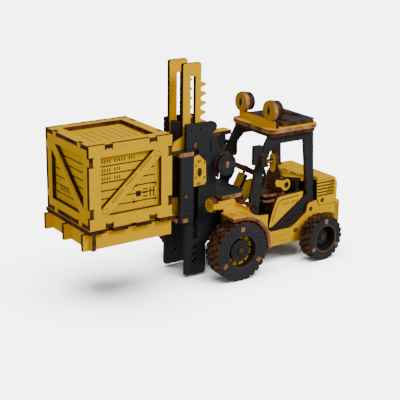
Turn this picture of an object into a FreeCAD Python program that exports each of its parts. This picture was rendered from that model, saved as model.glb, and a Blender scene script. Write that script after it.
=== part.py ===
import FreeCAD, Part
import math
import os
import Sketcher

# Toy forklift cut from flat plywood sheets that slot and peg together.
# Frame: +X towards the forks, +Y to the driver's left, +Z up, millimetres.
# The floor is at Z = 0.  The build frame has X = 0 at the rear face of the crate;
# plan_shift then carries every piece so that the origin is under the box centre.

os.makedirs("parts", exist_ok=True)
doc = FreeCAD.newDocument("toy_forklift")
sheet = doc.addObject("Spreadsheet::Sheet", "Dims")

DRIVING = [
    ("ply", 2.8), ("gap", 0.3), ("plan_shift", 44.5),
    ("crate_length", 60.0), ("crate_width", 58.5), ("crate_height", 54.0),
    ("crate_floor", 54.0), ("crate_border", 8.0), ("crate_tab", 4.4), ("liner_wall", 2.0),
    ("pallet_bottom", 40.3), ("pallet_half", 30.0), ("runner_pitch", 25.6), ("runner_front", 64.0),
    ("mast_front", -21.0), ("mast_depth", 16.4), ("mast_top", 108.0), ("mast_foot", 1.6),
    ("mast_outer", 14.25), ("slot_front", -26.9), ("slot_wide", 3.9), ("slot_low", 27.5),
    ("slot_high", 91.5),
    ("rail_outer", 9.6), ("rail_depth", 14.2), ("rail_top", 147.6), ("rail_foot", 40.5),
    ("rack_pitch", 6.35), ("tooth_count", 11), ("knob_height", 78.9), ("knob_radius", 7.5),
    ("knob_face", 22.5), ("beam_height", 93.3), ("carriage_low", 41.6), ("carriage_high", 87.4),
    ("fork_top", 51.0), ("fork_deep", 6.4), ("fork_tip", 52.0),
    ("shaft_radius", 2.0), ("shaft_fit", 0.06),
    ("frame_outer", 22.8), ("sill_low", 12.6), ("hood_top", 57.0), ("cab_top", 92.4),
    ("front_axle_x", -51.4), ("front_radius", 21.0), ("front_bore", 11.1), ("front_face", 38.5),
    ("front_wide", 14.0), ("rear_axle_x", -124.5), ("rear_radius", 16.2), ("rear_bore", 8.8),
    ("rear_face", 38.0), ("rear_wide", 11.2), ("kingpin_y", 21.0), ("kingpin_radius", 1.5),
    ("steer_angle", 4.0), ("fender_outer", 24.9), ("fender_thick", 2.8), ("fender_edge", 38.0),
    ("roof_half", 24.0), ("roof_front", -83.5), ("roof_rear", -127.5),
    ("lamp_offset", 16.2), ("lamp_height", 110.0), ("lamp_radius", 7.4),
    ("wheel_tilt", 28.0), ("wheel_radius", 9.0), ("wheel_x", -80.5), ("wheel_z", 65.6),
    ("engine_top", 57.6), ("engine_front", -110.0), ("engine_rear", -147.5),
]

row = 1
for alias, number in DRIVING:
    sheet.set("A%d" % row, alias)
    sheet.set("B%d" % row, str(number))
    sheet.setAlias("B%d" % row, alias)
    row += 1
doc.recompute()


class Size:
    """A number together with the spreadsheet expression it comes from."""

    def __init__(self, value, text):
        self.value = float(value)
        self.text = text

    def _mix(self, other, sign, result):
        text = other.text if isinstance(other, Size) else repr(float(other))
        return Size(result, "(%s %s %s)" % (self.text, sign, text))

    def __add__(self, other):
        return self._mix(other, "+", self.value + num(other))

    def __sub__(self, other):
        return self._mix(other, "-", self.value - num(other))

    def __mul__(self, other):
        return self._mix(other, "*", self.value * num(other))

    def __truediv__(self, other):
        return self._mix(other, "/", self.value / num(other))

    def __neg__(self):
        return Size(-self.value, "(0 - %s)" % self.text)

    def __radd__(self, other):
        return Size(num(other) + self.value, "(%r + %s)" % (float(other), self.text))

    def __rsub__(self, other):
        return Size(num(other) - self.value, "(%r - %s)" % (float(other), self.text))

    def __rmul__(self, other):
        return Size(num(other) * self.value, "(%r * %s)" % (float(other), self.text))


def num(item):
    return item.value if isinstance(item, Size) else float(item)


def cell(alias):
    return Size(getattr(sheet, alias), "Dims.%s" % alias)


def bind(thing, path, item):
    """Tie one property of an object to the spreadsheet."""
    if isinstance(item, Size):
        thing.setExpression(path, item.text)


finished = []


def finish(thing, label):
    """Label a sub-part and carry it to the object's own frame."""
    thing.Label = label
    spot = FreeCAD.Placement(thing.Placement)
    spot.Base.x = spot.Base.x + num(cell("plan_shift"))
    thing.Placement = spot
    finished.append(thing)
    return thing


def shift_bound(thing, x=0.0):
    """Placement of a part that is drawn in the build frame."""
    thing.Placement = FreeCAD.Placement()
    thing.setExpression("Placement.Base.x", (cell("plan_shift") + x).text)


# ---------------------------------------------------------------- sketch helpers

PLANES = {"XY": ("XY_Plane", 1.0), "XZ": ("XZ_Plane", -1.0), "YZ": ("YZ_Plane", 1.0)}


def body_named(label):
    body = doc.addObject("PartDesign::Body", label)
    body.Label = label
    shift_bound(body)
    finished.append(body)
    return body


def sketch_on(body, plane, offset, name):
    role, sign = PLANES[plane]
    sketch = body.newObject("Sketcher::SketchObject", name)
    origin_plane = [f for f in body.Origin.OriginFeatures if f.Role == role][0]
    sketch.AttachmentSupport = [(origin_plane, "")]
    sketch.MapMode = "FlatFace"
    place = offset if sign > 0 else -offset
    sketch.AttachmentOffset = FreeCAD.Placement(FreeCAD.Vector(0, 0, num(place)), FreeCAD.Rotation())
    bind(sketch, "AttachmentOffset.Base.z", place)
    return sketch


def pin(sketch, geometry, point, x, y):
    """Hold one point of a sketch at x, y from the sketch's origin."""
    for kind, axis, item in (("DistanceX", -2, x), ("DistanceY", -1, y)):
        if abs(num(item)) < 1e-9:
            sketch.addConstraint(Sketcher.Constraint("PointOnObject", geometry, point, axis))
            continue
        index = sketch.addConstraint(Sketcher.Constraint(kind, -1, 1, geometry, point, num(item)))
        bind(sketch, "Constraints[%d]" % index, item)


def polygon(sketch, corners):
    spots = [FreeCAD.Vector(num(x), num(y), 0) for x, y in corners]
    count = len(spots)
    first = sketch.GeometryCount
    sketch.addGeometry([Part.LineSegment(spots[i], spots[(i + 1) % count]) for i in range(count)], False)
    for i in range(count):
        follower = first + (i + 1) % count
        sketch.addConstraint(Sketcher.Constraint("Coincident", first + i, 2, follower, 1))
    for i in range(count):
        pin(sketch, first + i, 1, corners[i][0], corners[i][1])


def ring(sketch, x, y, radius):
    circle = Part.Circle(FreeCAD.Vector(num(x), num(y), 0), FreeCAD.Vector(0, 0, 1), num(radius))
    index = sketch.addGeometry(circle, False)
    held = sketch.addConstraint(Sketcher.Constraint("Radius", index, num(radius)))
    bind(sketch, "Constraints[%d]" % held, radius)
    pin(sketch, index, 3, x, y)


def box_corners(x0, y0, x1, y1):
    return [(x0, y0), (x1, y0), (x1, y1), (x0, y1)]


def pad(body, sketch, length, name="Pad"):
    feature = body.newObject("PartDesign::Pad", name)
    feature.Profile = sketch
    feature.Length = num(length)
    bind(feature, "Length", length)
    return feature


def cut_through(body, sketch, length, name="Pocket"):
    """Cut a sketch drawn at the pad's start right through the pad."""
    before = body.Shape.Volume
    feature = body.newObject("PartDesign::Pocket", name)
    feature.Profile = sketch
    feature.Type = "Length"
    feature.Length = num(length)
    bind(feature, "Length", length)
    feature.Reversed = True
    doc.recompute()
    if body.Shape.Volume > before - 1e-6:
        raise RuntimeError("nothing was cut in " + body.Label)
    return feature


def plate(label, plane, low, thick, outer, cuts=(), holes=(), discs=(), plate_body=None):
    """A flat sheet: outline polygons and discs added, polygons and round holes cut."""
    body = plate_body or body_named(label)
    start = low if PLANES[plane][1] > 0 else low + thick
    for number, corners in enumerate(outer):
        sketch = sketch_on(body, plane, start, "Outline%d" % number)
        polygon(sketch, corners)
        pad(body, sketch, thick, "Sheet%d" % number)
    for number, (x, y, radius) in enumerate(discs):
        sketch = sketch_on(body, plane, start, "Round%d" % number)
        ring(sketch, x, y, radius)
        pad(body, sketch, thick, "RoundSheet%d" % number)
    doc.recompute()
    if cuts or holes:
        sketch = sketch_on(body, plane, start, "Openings")
        for corners in cuts:
            polygon(sketch, corners)
        for x, y, radius in holes:
            ring(sketch, x, y, radius)
        cut_through(body, sketch, thick)
    return body


def soften(body, radius, chooser, name="Rounded"):
    """Round the edges that chooser picks out."""
    doc.recompute()
    names = []
    solid = body.Tip
    for number, edge in enumerate(solid.Shape.Edges, 1):
        if chooser(edge):
            names.append("Edge%d" % number)
    feature = body.newObject("PartDesign::Fillet", name)
    feature.Base = (solid, names)
    feature.Radius = num(radius)
    bind(feature, "Radius", radius)
    doc.recompute()
    return feature


def upright_at(spots, axis, reach=0.6):
    """Pick straight edges along one axis that pass near the given plan points."""
    def chooser(edge):
        middle = edge.CenterOfMass
        start = edge.Vertexes[0].Point
        end = edge.Vertexes[-1].Point
        run = (end - start).normalize()
        if abs(run[axis]) < 0.99:
            return False
        others = [i for i in range(3) if i != axis]
        flat = (middle[others[0]], middle[others[1]])
        return any(math.hypot(flat[0] - u, flat[1] - v) < reach for u, v in spots)
    return chooser


# ---------------------------------------------------------------- solid helpers

def block(name, x0, y0, z0, x1, y1, z1):
    """A box between two corners, each side bound to the sheet."""
    item = doc.addObject("Part::Box", name)
    for path, low, high in (("Length", x0, x1), ("Width", y0, y1), ("Height", z0, z1)):
        span = high - low
        setattr(item, path, num(span))
        bind(item, path, span)
    item.Placement.Base = FreeCAD.Vector(num(x0), num(y0), num(z0))
    for path, low in (("x", x0), ("y", y0), ("z", z0)):
        bind(item, "Placement.Base.%s" % path, low)
    return item


def rod(name, radius, length, base, axis):
    """A cylinder from base along +X, +Y or +Z."""
    item = doc.addObject("Part::Cylinder", name)
    item.Radius = num(radius)
    bind(item, "Radius", radius)
    item.Height = num(length)
    bind(item, "Height", length)
    turn = {
        "X": FreeCAD.Rotation(FreeCAD.Vector(0, 1, 0), 90),
        "Y": FreeCAD.Rotation(FreeCAD.Vector(1, 0, 0), -90),
        "Z": FreeCAD.Rotation(),
    }[axis]
    item.Placement = FreeCAD.Placement(FreeCAD.Vector(*[num(c) for c in base]), turn)
    for path, value in zip("xyz", base):
        bind(item, "Placement.Base.%s" % path, value)
    return item


def fused(name, pieces):
    item = doc.addObject("Part::MultiFuse", name)
    item.Shapes = pieces
    return item


def cut(name, base, tool):
    item = doc.addObject("Part::Cut", name)
    item.Base = base
    item.Tool = tool
    return item


def grouped(name, pieces):
    item = doc.addObject("Part::Compound", name)
    item.Links = pieces
    return item


def settle(item, label):
    """A finished sub-part made from primitives."""
    if item.TypeId in ("Part::Box", "Part::Cylinder"):
        item.Label = label + "_solid"
        item = grouped(label, [item])
    item.Label = label
    shift_bound(item)
    finished.append(item)
    return item


# ---------------------------------------------------------------- crate

ply = cell("ply")
gap = cell("gap")
length = cell("crate_length")
half = cell("crate_width") / 2
floor = cell("crate_floor")
top = floor + cell("crate_height")
border = cell("crate_border")
tab = cell("crate_tab")
inner = half - ply
side_tabs = (floor + 10.5, top - 10.5)
lid_tabs = (14.0 + length * 0, length - 14.0)
end_tabs = (-16.5, 16.5)


def notch(x, y, wide, high):
    return box_corners(x - wide / 2, y - high / 2, x + wide / 2, y + high / 2)


def braced_opening(x0, y0, x1, y1, rising=True):
    """Two triangles that leave a diagonal brace 5.6 mm wide between them."""
    run = x1 - x0
    rise = y1 - y0
    step_x = 5.0
    step_y = 4.4
    if rising:
        return [
            [(x0, y0 + step_y), (x0, y1), (x1 - step_x, y1)],
            [(x0 + step_x, y0), (x1, y0), (x1, y1 - step_y)],
        ]
    return [
        [(x0, y0), (x0, y1 - step_y), (x1 - step_x, y0)],
        [(x0 + step_x, y1), (x1, y1), (x1, y0 + step_y)],
    ]


side_cuts = []
for x in lid_tabs:
    side_cuts.append(box_corners(x - tab / 2, top - ply, x + tab / 2, top + 1))
    side_cuts.append(box_corners(x - tab / 2, floor - 1, x + tab / 2, floor + ply))
for z in side_tabs:
    side_cuts.append(box_corners(Size(-1, "-1"), z - 2.5, ply, z + 2.5))
    side_cuts.append(box_corners(length - ply, z - 2.5, length + 1, z + 2.5))
side_cuts += braced_opening(border, floor + border, length - border, top - border, rising=False)

for label, low in (("crate_left_panel", inner), ("crate_right_panel", -half)):
    plate(label, "XZ", low, ply, [box_corners(Size(0, "0"), floor, length, top)], cuts=side_cuts)

end_outline = [
    (-inner, floor + ply), (inner, floor + ply), (inner, side_tabs[0] - 2.5), (half, side_tabs[0] - 2.5),
    (half, side_tabs[0] + 2.5), (inner, side_tabs[0] + 2.5), (inner, side_tabs[1] - 2.5),
    (half, side_tabs[1] - 2.5), (half, side_tabs[1] + 2.5), (inner, side_tabs[1] + 2.5),
    (inner, top - ply), (-inner, top - ply), (-inner, side_tabs[1] + 2.5), (-half, side_tabs[1] + 2.5),
    (-half, side_tabs[1] - 2.5), (-inner, side_tabs[1] - 2.5), (-inner, side_tabs[0] + 2.5),
    (-half, side_tabs[0] + 2.5), (-half, side_tabs[0] - 2.5), (-inner, side_tabs[0] - 2.5),
]
end_extra = []
for y in end_tabs:
    end_extra.append(box_corners(y - tab / 2, top - ply - 1, y + tab / 2, top))
    end_extra.append(box_corners(y - tab / 2, floor, y + tab / 2, floor + ply + 1))
end_open = braced_opening(-half + border, floor + border, half - border, top - border, rising=False)
for label, low in (("crate_front_panel", length - ply), ("crate_rear_panel", Size(0, "0"))):
    plate(label, "YZ", low, ply, [end_outline] + end_extra, cuts=end_open)

lid_outline = [
    (Size(0, "0"), -inner), (lid_tabs[0] - tab / 2, -inner), (lid_tabs[0] - tab / 2, -half),
    (lid_tabs[0] + tab / 2, -half), (lid_tabs[0] + tab / 2, -inner), (lid_tabs[1] - tab / 2, -inner),
    (lid_tabs[1] - tab / 2, -half), (lid_tabs[1] + tab / 2, -half), (lid_tabs[1] + tab / 2, -inner),
    (length, -inner), (length, inner), (lid_tabs[1] + tab / 2, inner), (lid_tabs[1] + tab / 2, half),
    (lid_tabs[1] - tab / 2, half), (lid_tabs[1] - tab / 2, inner), (lid_tabs[0] + tab / 2, inner),
    (lid_tabs[0] + tab / 2, half), (lid_tabs[0] - tab / 2, half), (lid_tabs[0] - tab / 2, inner),
    (Size(0, "0"), inner),
]
lid_notches = []
for y in end_tabs:
    lid_notches.append(box_corners(Size(-1, "-1"), y - tab / 2, ply, y + tab / 2))
    lid_notches.append(box_corners(length - ply, y - tab / 2, length + 1, y + tab / 2))
lid_open = [box_corners(border, -half + border, length - border, half - border)]
plate("crate_lid", "XY", top - ply, ply, [lid_outline], cuts=lid_notches + lid_open)
plate("crate_base", "XY", floor, ply, [lid_outline], cuts=lid_notches)

liner = cell("liner_wall")
liner_out = block("LinerOuter", ply, -inner, floor + ply, length - ply, inner, top - ply)
liner_in = block("LinerInner", ply + liner, liner - inner, floor + ply + liner,
                 length - ply - liner, inner - liner, top - ply - liner)
settle(cut("crate_planks", liner_out, liner_in), "crate_planks")

# ---------------------------------------------------------------- pallet

deck_top = floor - 0.1
deck_low = deck_top - ply
boards = []
for number in range(4):
    start = -1.4 + 17.1 * number
    boards.append(block("DeckBoard%d" % number, Size(start, "%r" % start), -cell("pallet_half"), deck_low,
                        Size(start + 11.0, "%r" % (start + 11.0)), cell("pallet_half"), deck_top))
settle(grouped("pallet_deck", boards), "pallet_deck")

pallet_low = cell("pallet_bottom")
runner_front = cell("runner_front")
cross_x = runner_front - 5.0 - ply
lap = (pallet_low + deck_low) / 2
runners = []
for number, y in enumerate((-cell("runner_pitch"), Size(0, "0"), cell("runner_pitch"))):
    long_part = block("Runner%d" % number, Size(-1, "-1"), y - ply / 2, pallet_low,
                      runner_front, y + ply / 2, deck_low)
    slot = block("RunnerSlot%d" % number, cross_x, y - ply, pallet_low - 1, cross_x + ply, y + ply, lap)
    runners.append(cut("RunnerCut%d" % number, long_part, slot))
cross = block("CrossBoard", cross_x, -cell("pallet_half") + 0.3, pallet_low,
              cross_x + ply, cell("pallet_half") - 0.3, deck_low)
cross_slots = []
for number, y in enumerate((-cell("runner_pitch"), Size(0, "0"), cell("runner_pitch"))):
    cross_slots.append(block("CrossSlot%d" % number, cross_x - 1, y - ply / 2, lap,
                             cross_x + ply + 1, y + ply / 2, deck_low + 1))
cross_board = cut("CrossLapped", cross, fused("CrossSlots", cross_slots))
settle(grouped("pallet_runners", runners + [cross_board]), "pallet_runners")

# ---------------------------------------------------------------- mast

front = cell("mast_front")
rear = front - cell("mast_depth")
mast_top = cell("mast_top")
foot = cell("mast_foot")
mast_inner = cell("mast_outer") - ply
pitch = cell("rack_pitch")
teeth = cell("tooth_count")
pitch_radius = pitch * teeth / (2 * math.pi)
tip_x = front - 18.4
addendum = pitch / math.pi
knob_x = tip_x + addendum - pitch_radius
knob_z = cell("knob_height")
slot_x1 = cell("slot_front")
slot_x0 = slot_x1 - cell("slot_wide")
beam_z = cell("beam_height")
shaft_r = cell("shaft_radius")
bore_r = shaft_r + cell("shaft_fit")
lug_x = rear - 8.1
brace_z = Size(97.4, "97.4")

mast_outline = [
    (front, foot + 1.0), (front, mast_top), (lug_x + 3.7, mast_top), (lug_x + 3.7, brace_z),
    (lug_x, brace_z), (lug_x, mast_top - 16.0), (knob_x - 2.6, knob_z + 5.6), (knob_x - 2.6, knob_z - 5.6),
    (lug_x + 0.3, knob_z - 8.4), (lug_x, 60.0), (lug_x, 26.0), (rear, 23.0), (rear, foot + 1.4),
    (rear + 1.4, foot), (front - 1.0, foot),
]
beam_x1 = slot_x1 - 0.4
beam_x0 = slot_x0 + 0.4
mast_cuts = [
    box_corners(slot_x0, cell("slot_low"), slot_x1, cell("slot_high") - 1.6),
    box_corners(beam_x0, beam_z - ply / 2, beam_x1, beam_z + ply / 2),
]
for step in range(3):
    z = 10.0 + 4.6 * step
    mast_cuts.append([(front - 5.4, z), (front - 5.4, z + 2.4),
                      (front - 9.6, z + 4.8), (front - 9.6, z + 2.4)])
mast_cuts.append(box_corners(front - 19.9, 87.6, front - 19.1, 96.0))
mast_holes = [
    (knob_x, knob_z, bore_r),
    (front - 3.6, mast_top - 4.2, 0.6),
    (front - 11.2, mast_top - 4.2, 0.6),
]
for label, low in (("mast_plate_left", mast_inner), ("mast_plate_right", -cell("mast_outer"))):
    plate(label, "XZ", low, ply, [mast_outline], cuts=mast_cuts, holes=mast_holes,
          discs=[(lug_x + 3.7, mast_top - 3.7, 3.7), (knob_x, knob_z, 6.2)])

# The cross beam runs through the slots of both inner rails; a stop plate stands on it.
beam = block("BeamBar", beam_x0, -cell("mast_outer"), beam_z - ply / 2,
             beam_x1, cell("mast_outer"), beam_z + ply / 2)
beam_wide = block("BeamWide", beam_x0, Size(-5.8, "-5.8"), beam_z - ply / 2,
                  front - 0.2, Size(5.8, "5.8"), beam_z + ply / 2)
stop_plate = block("MastStop", front - 0.2 - ply, Size(-5.6, "-5.6"), beam_z + ply / 2 - 0.4,
                   front - 0.2, Size(5.6, "5.6"), Size(107.2, "107.2"))
settle(fused("mast_cross_beam", [beam, beam_wide, stop_plate]), "mast_cross_beam")

brace_in = Size(-40.2, "-40.2")
brace_out = Size(-57.2, "-57.2")
brace_step = Size(-45.6, "-45.6")
brace_tab = lug_x + 3.6
outer_y = cell("mast_outer")
plate("mast_top_brace", "XY", brace_z, ply, [[
    (brace_in, -mast_inner), (brace_in, mast_inner), (brace_tab, mast_inner), (brace_tab, outer_y),
    (brace_out, outer_y), (brace_out, Size(5.8, "5.8")),
    (brace_step, Size(5.8, "5.8")), (brace_step, Size(-5.8, "-5.8")), (brace_out, Size(-5.8, "-5.8")),
    (brace_out, -outer_y), (brace_tab, -outer_y), (brace_tab, -mast_inner),
]])

# ---------------------------------------------------------------- carriage: rails with forks

rail_rear = front - cell("rail_depth")
rail_inner = cell("rail_outer") - ply
rail_low = cell("rail_foot")
rail_high = cell("rail_top")
fork_top = cell("fork_top")
fork_low = fork_top - cell("fork_deep")
nose_x = front + 8.5
rail_outline = [
    (rail_rear, rail_low), (rail_rear, rail_high - 1.0), (rail_rear + 1.0, rail_high),
    (front - 0.8, rail_high), (front, rail_high - 0.8), (front, Size(99.6, "99.6")),
    (nose_x - 1.6, Size(96.4, "96.4")), (nose_x, Size(92.6, "92.6")), (nose_x, fork_top),
    (cell("fork_tip"), fork_top), (cell("fork_tip"), fork_top - 2.6),
    (cell("fork_tip") - 14.0, fork_low), (nose_x - 2.0, fork_low), (nose_x - 4.0, rail_low),
]
tooth_half = pitch / 4 - 0.12
lean = math.tan(math.radians(20))
rack_first = knob_z + pitch * 8.5
root_depth = addendum * 1.1
peg_x = (slot_x0 + slot_x1) / 2
peg_z = 75.6

rail_slot = box_corners(slot_x0, Size(79.6, "79.6"), slot_x1, Size(138.8, "138.8"))
lap_x = front + 4.2
carriage_low = cell("carriage_low")
carriage_high = cell("carriage_high")
rail_notch = box_corners(lap_x, carriage_high, nose_x + 1, carriage_high + ply)
for label, low in (("rail_left", rail_inner), ("rail_right", -cell("rail_outer"))):
    body = plate(label, "XZ", low, ply, [rail_outline], cuts=[rail_slot, rail_notch],
                 holes=[(front + 2.2, Size(60.0, "60"), 1.25)])
    tooth = sketch_on(body, "XZ", low + ply, "Tooth")
    base = rail_rear + 0.5
    wide = tooth_half + (base - tip_x - addendum) * lean
    slim = tooth_half - addendum * lean
    polygon(tooth, [(base, rack_first - wide), (base, rack_first + wide),
                    (tip_x + 0.5, rack_first + slim), (tip_x, rack_first + slim * 0.45),
                    (tip_x, rack_first - slim * 0.45), (tip_x + 0.5, rack_first - slim)])
    tooth_pad = pad(body, tooth, ply, "ToothPad")
    doc.recompute()
    before = body.Shape.Volume
    rack = body.newObject("PartDesign::LinearPattern", "Rack")
    rack.Originals = [tooth_pad]
    rack.Direction = (tooth, ["V_Axis"])
    rack.Reversed = True
    rack.Length = num(pitch * 14)
    bind(rack, "Length", pitch * 14)
    rack.Occurrences = 15
    body.Tip = rack
    doc.recompute()
    if body.Shape.Volume < before + 10:
        raise RuntimeError("the rack has no teeth")

cheek_low = outer_y + gap
cheek_front = front + 6.4
cheek_rear = front - 3.9
cheek_outline = box_corners(cheek_rear, carriage_low, cheek_front, carriage_high)
shelf_front = front + 7.4
cheeks = []
for number, low in enumerate((cheek_low, -cheek_low - ply)):
    cheek = doc.addObject("PartDesign::Body", "CheekSheet%d" % number)
    plate("CheekSheet%d" % number, "XZ", low, ply, [cheek_outline],
          cuts=[box_corners(front + 0.4, carriage_low - 1, front + 4.4, carriage_low + ply)],
          holes=[(front + 2.2, Size(60.0, "60"), 1.25)], plate_body=cheek)
    cheeks.append(cheek)
settle(grouped("carriage_cheeks", cheeks), "carriage_cheeks")

cheek_face = cheek_low + ply


def shelf(label, low, with_ears):
    """Horizontal sheet in front of the mast, notched round both rails."""
    slots = []
    for sign in (1.0, -1.0):
        a = rail_inner * sign
        b = cell("rail_outer") * sign
        near, far = (a, b) if sign > 0 else (b, a)
        slots.append(box_corners(front - 2.0, near, lap_x if with_ears else front + 6.6, far))
    if with_ears:
        outline = [
            (front + 0.4, -cheek_low), (cheek_rear, -cheek_low), (cheek_rear, -cheek_face),
            (shelf_front, -cheek_face), (shelf_front, cheek_face), (cheek_rear, cheek_face),
            (cheek_rear, cheek_low), (front + 0.4, cheek_low),
        ]
    else:
        outline = [
            (front + 0.4, -cheek_low), (front + 0.4, -cheek_face), (front + 4.4, -cheek_face),
            (front + 4.4, -cheek_low), (front + 8.0, -cheek_low), (front + 8.0, cheek_low),
            (front + 4.4, cheek_low), (front + 4.4, cheek_face), (front + 0.4, cheek_face),
            (front + 0.4, cheek_low),
        ]
    body = doc.addObject("PartDesign::Body", label)
    return plate(label, "XY", low, ply, [outline], cuts=slots, plate_body=body)


settle(grouped("carriage_shelves", [
    shelf("TopShelf", carriage_high, True),
    shelf("LowShelf", carriage_low, False),
]), "carriage_shelves")

slider_outline = [
    (front - 4.0, Size(66.0, "66")), (front - 4.0, Size(86.6, "86.6")), (front - 7.6, Size(87.6, "87.6")),
    (front - 13.5, Size(82.0, "82")), (front - 14.0, Size(68.2, "68.2")), (front - 12.6, Size(66.4, "66.4")),
]
sliders = []
for number, sign in enumerate((1.0, -1.0)):
    low = cheek_low if sign > 0 else -cheek_low - ply
    sheet_body = doc.addObject("PartDesign::Body", "SliderSheet%d" % number)
    plate("SliderSheet%d" % number, "XZ", low, ply, [slider_outline], plate_body=sheet_body)
    peg_start = rail_inner if sign > 0 else -cheek_face - 0.5
    peg_end = cheek_face + 0.5 if sign > 0 else -rail_inner
    # The peg reaches the rail's outer face and crosses the mast plate's slot.
    start = cell("rail_outer") if sign > 0 else peg_start
    end = peg_end if sign > 0 else -cell("rail_outer")
    peg = block("SliderPeg%d" % number, peg_x - 1.45, start, Size(peg_z - 2.0, "%r" % (peg_z - 2.0)),
                peg_x + 1.45, end, Size(peg_z + 2.0, "%r" % (peg_z + 2.0)))
    sliders.append(fused("Slider%d" % number, [sheet_body, peg]))
settle(grouped("slider_plates", sliders), "slider_plates")

settle(rod("CarriageDowel", Size(1.25, "1.25"), cheek_face * 2 + 0.6,
           (front + 2.2, -cheek_face - 0.3, Size(60.0, "60")), "Y"), "carriage_dowel")

# ---------------------------------------------------------------- turned and toothed pieces


def spun_body(name, x, y, z):
    """A body drawn round its own Y axis and placed with that axis at x, z."""
    body = doc.addObject("PartDesign::Body", name)
    body.Placement = FreeCAD.Placement(FreeCAD.Vector(num(x), num(y), num(z)), FreeCAD.Rotation())
    for path, value in (("x", x), ("y", y), ("z", z)):
        bind(body, "Placement.Base.%s" % path, value)
    return body


def patterned(body, feature, count, name):
    """Repeat one feature round the body's Y axis."""
    axis = [f for f in body.Origin.OriginFeatures if f.Role == "Y_Axis"][0]
    pattern = body.newObject("PartDesign::PolarPattern", name)
    pattern.Originals = [feature]
    pattern.Axis = (axis, [""])
    pattern.Angle = 360
    pattern.Occurrences = count
    body.Tip = pattern
    doc.recompute()
    return pattern


zero = Size(0, "0")


def washer(body, low, thick, outer, inner=None, name="Disc"):
    """A disc or ring about the body's Y axis, from low to low + thick."""
    sketch = sketch_on(body, "XZ", low + thick, name + "Outline")
    ring(sketch, zero, zero, outer)
    if inner is not None:
        ring(sketch, zero, zero, inner)
    feature = pad(body, sketch, thick, name)
    doc.recompute()
    return feature


# ---------------------------------------------------------------- lift drive: knob and pinion

root = pitch_radius - root_depth
gear_discs = []
for number, low in enumerate((rail_inner, -cell("rail_outer"))):
    gear = spun_body("GearDisc%d" % number, knob_x, zero, knob_z)
    washer(gear, low, ply, root, name="Root")
    tooth = sketch_on(gear, "XZ", low + ply, "GearTooth")
    inset = root - 0.6
    waist = tooth_half - 0.3
    foot_half = waist + 0.1
    tip_r = pitch_radius + addendum * 0.7
    tip_half = waist - addendum * 0.7 * lean - 0.3
    polygon(tooth, [(inset, -foot_half), (pitch_radius, -waist), (tip_r, -tip_half),
                    (tip_r, tip_half), (pitch_radius, waist), (inset, foot_half)])
    tooth_pad = pad(gear, tooth, ply, "GearToothPad")
    doc.recompute()
    patterned(gear, tooth_pad, int(num(teeth)), "GearTeeth")
    gear_discs.append(gear)

knob_face = cell("knob_face")
knob_back = cheek_low
shaft_end = -outer_y - 1.6
shaft = rod("LiftShaft", shaft_r, knob_back + 0.6 - shaft_end, (knob_x, shaft_end, knob_z), "Y")
shaft_head = rod("ShaftHead", shaft_r + 1.6, Size(1.2, "1.2"), (knob_x, shaft_end - 1.2, knob_z), "Y")
settle(fused("lift_pinion", gear_discs + [shaft, shaft_head]), "lift_pinion")

knob_body = spun_body("KnobDisc", knob_x, zero, knob_z)
washer(knob_body, knob_back + 0.6, Size(1.8, "1.8"), Size(4.2, "4.2"), name="Spacer")
washer(knob_body, knob_back + 2.4, knob_face - knob_back - 2.4, cell("knob_radius"), name="Face")
slot_sketch = sketch_on(knob_body, "XZ", knob_face, "KnobSlot")
polygon(slot_sketch, [(Size(4.6, "4.6"), Size(-1.8, "-1.8")), (Size(5.5, "5.5"), Size(-1.8, "-1.8")),
                      (Size(5.5, "5.5"), Size(1.8, "1.8")), (Size(4.6, "4.6"), Size(1.8, "1.8"))])
knob_slot = knob_body.newObject("PartDesign::Pocket", "KnobSlotCut")
knob_slot.Profile = slot_sketch
knob_slot.Type = "Length"
knob_slot.Length = 1.0
knob_slot.Reversed = False
volume_before = knob_body.Shape.Volume
doc.recompute()
if knob_body.Shape.Volume > volume_before - 1e-6:
    knob_slot.Reversed = True
    doc.recompute()
patterned(knob_body, knob_slot, 4, "KnobSlots")
knob_tab = block("KnobTab", knob_x - 0.9, knob_face, knob_z - 2.0,
                 knob_x + 0.9, knob_face + 0.5, knob_z + 2.0)
settle(fused("lift_knob", [knob_body, knob_tab]), "lift_knob")

# ---------------------------------------------------------------- chassis side plates and cab

frame_outer = cell("frame_outer")
frame_inner = frame_outer - ply
cab_inner = frame_inner - ply
sill = cell("sill_low")
rear_x = cell("rear_axle_x")
front_x = cell("front_axle_x")
front_z = cell("front_radius")
rear_z = cell("rear_radius")
cab_top = cell("cab_top")

side_outline = [
    (-46.0, sill), (-46.0, 54.2), (-54.6, 54.2), (-56.8, 51.2), (-68.0, 45.2), (-68.4, 43.4),
    (-69.6, 41.2), (-72.8, 39.0), (-76.6, 37.9), (-84.6, 37.3), (-84.3, 27.2), (-87.0, 24.0),
    (-104.8, 23.9), (-108.8, 25.7), (-118.7, 32.6), (-119.7, 35.2), (-119.9, 37.8), (-121.4, 39.5),
    (-128.4, 40.6), (-130.8, 35.7), (-146.0, 35.7), (-146.0, 26.0), (-118.0, sill),
]
arch = Size(21.3, "21.3")
for label, low in (("side_frame_left", frame_inner), ("side_frame_right", -frame_outer)):
    plate(label, "XZ", low, ply, [side_outline],
          holes=[(front_x, front_z, shaft_r), (-110.0, 20.9, 1.3), (-123.4, 34.7, 1.1)],
          cuts=[])
    arched = finished[-1]
    arch_sketch = sketch_on(arched, "XZ", low + ply, "Arch")
    ring(arch_sketch, Size(-135.5, "-135.5"), Size(8.5, "8.5"), arch)
    cut_through(arched, arch_sketch, ply, "ArchCut")

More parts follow.
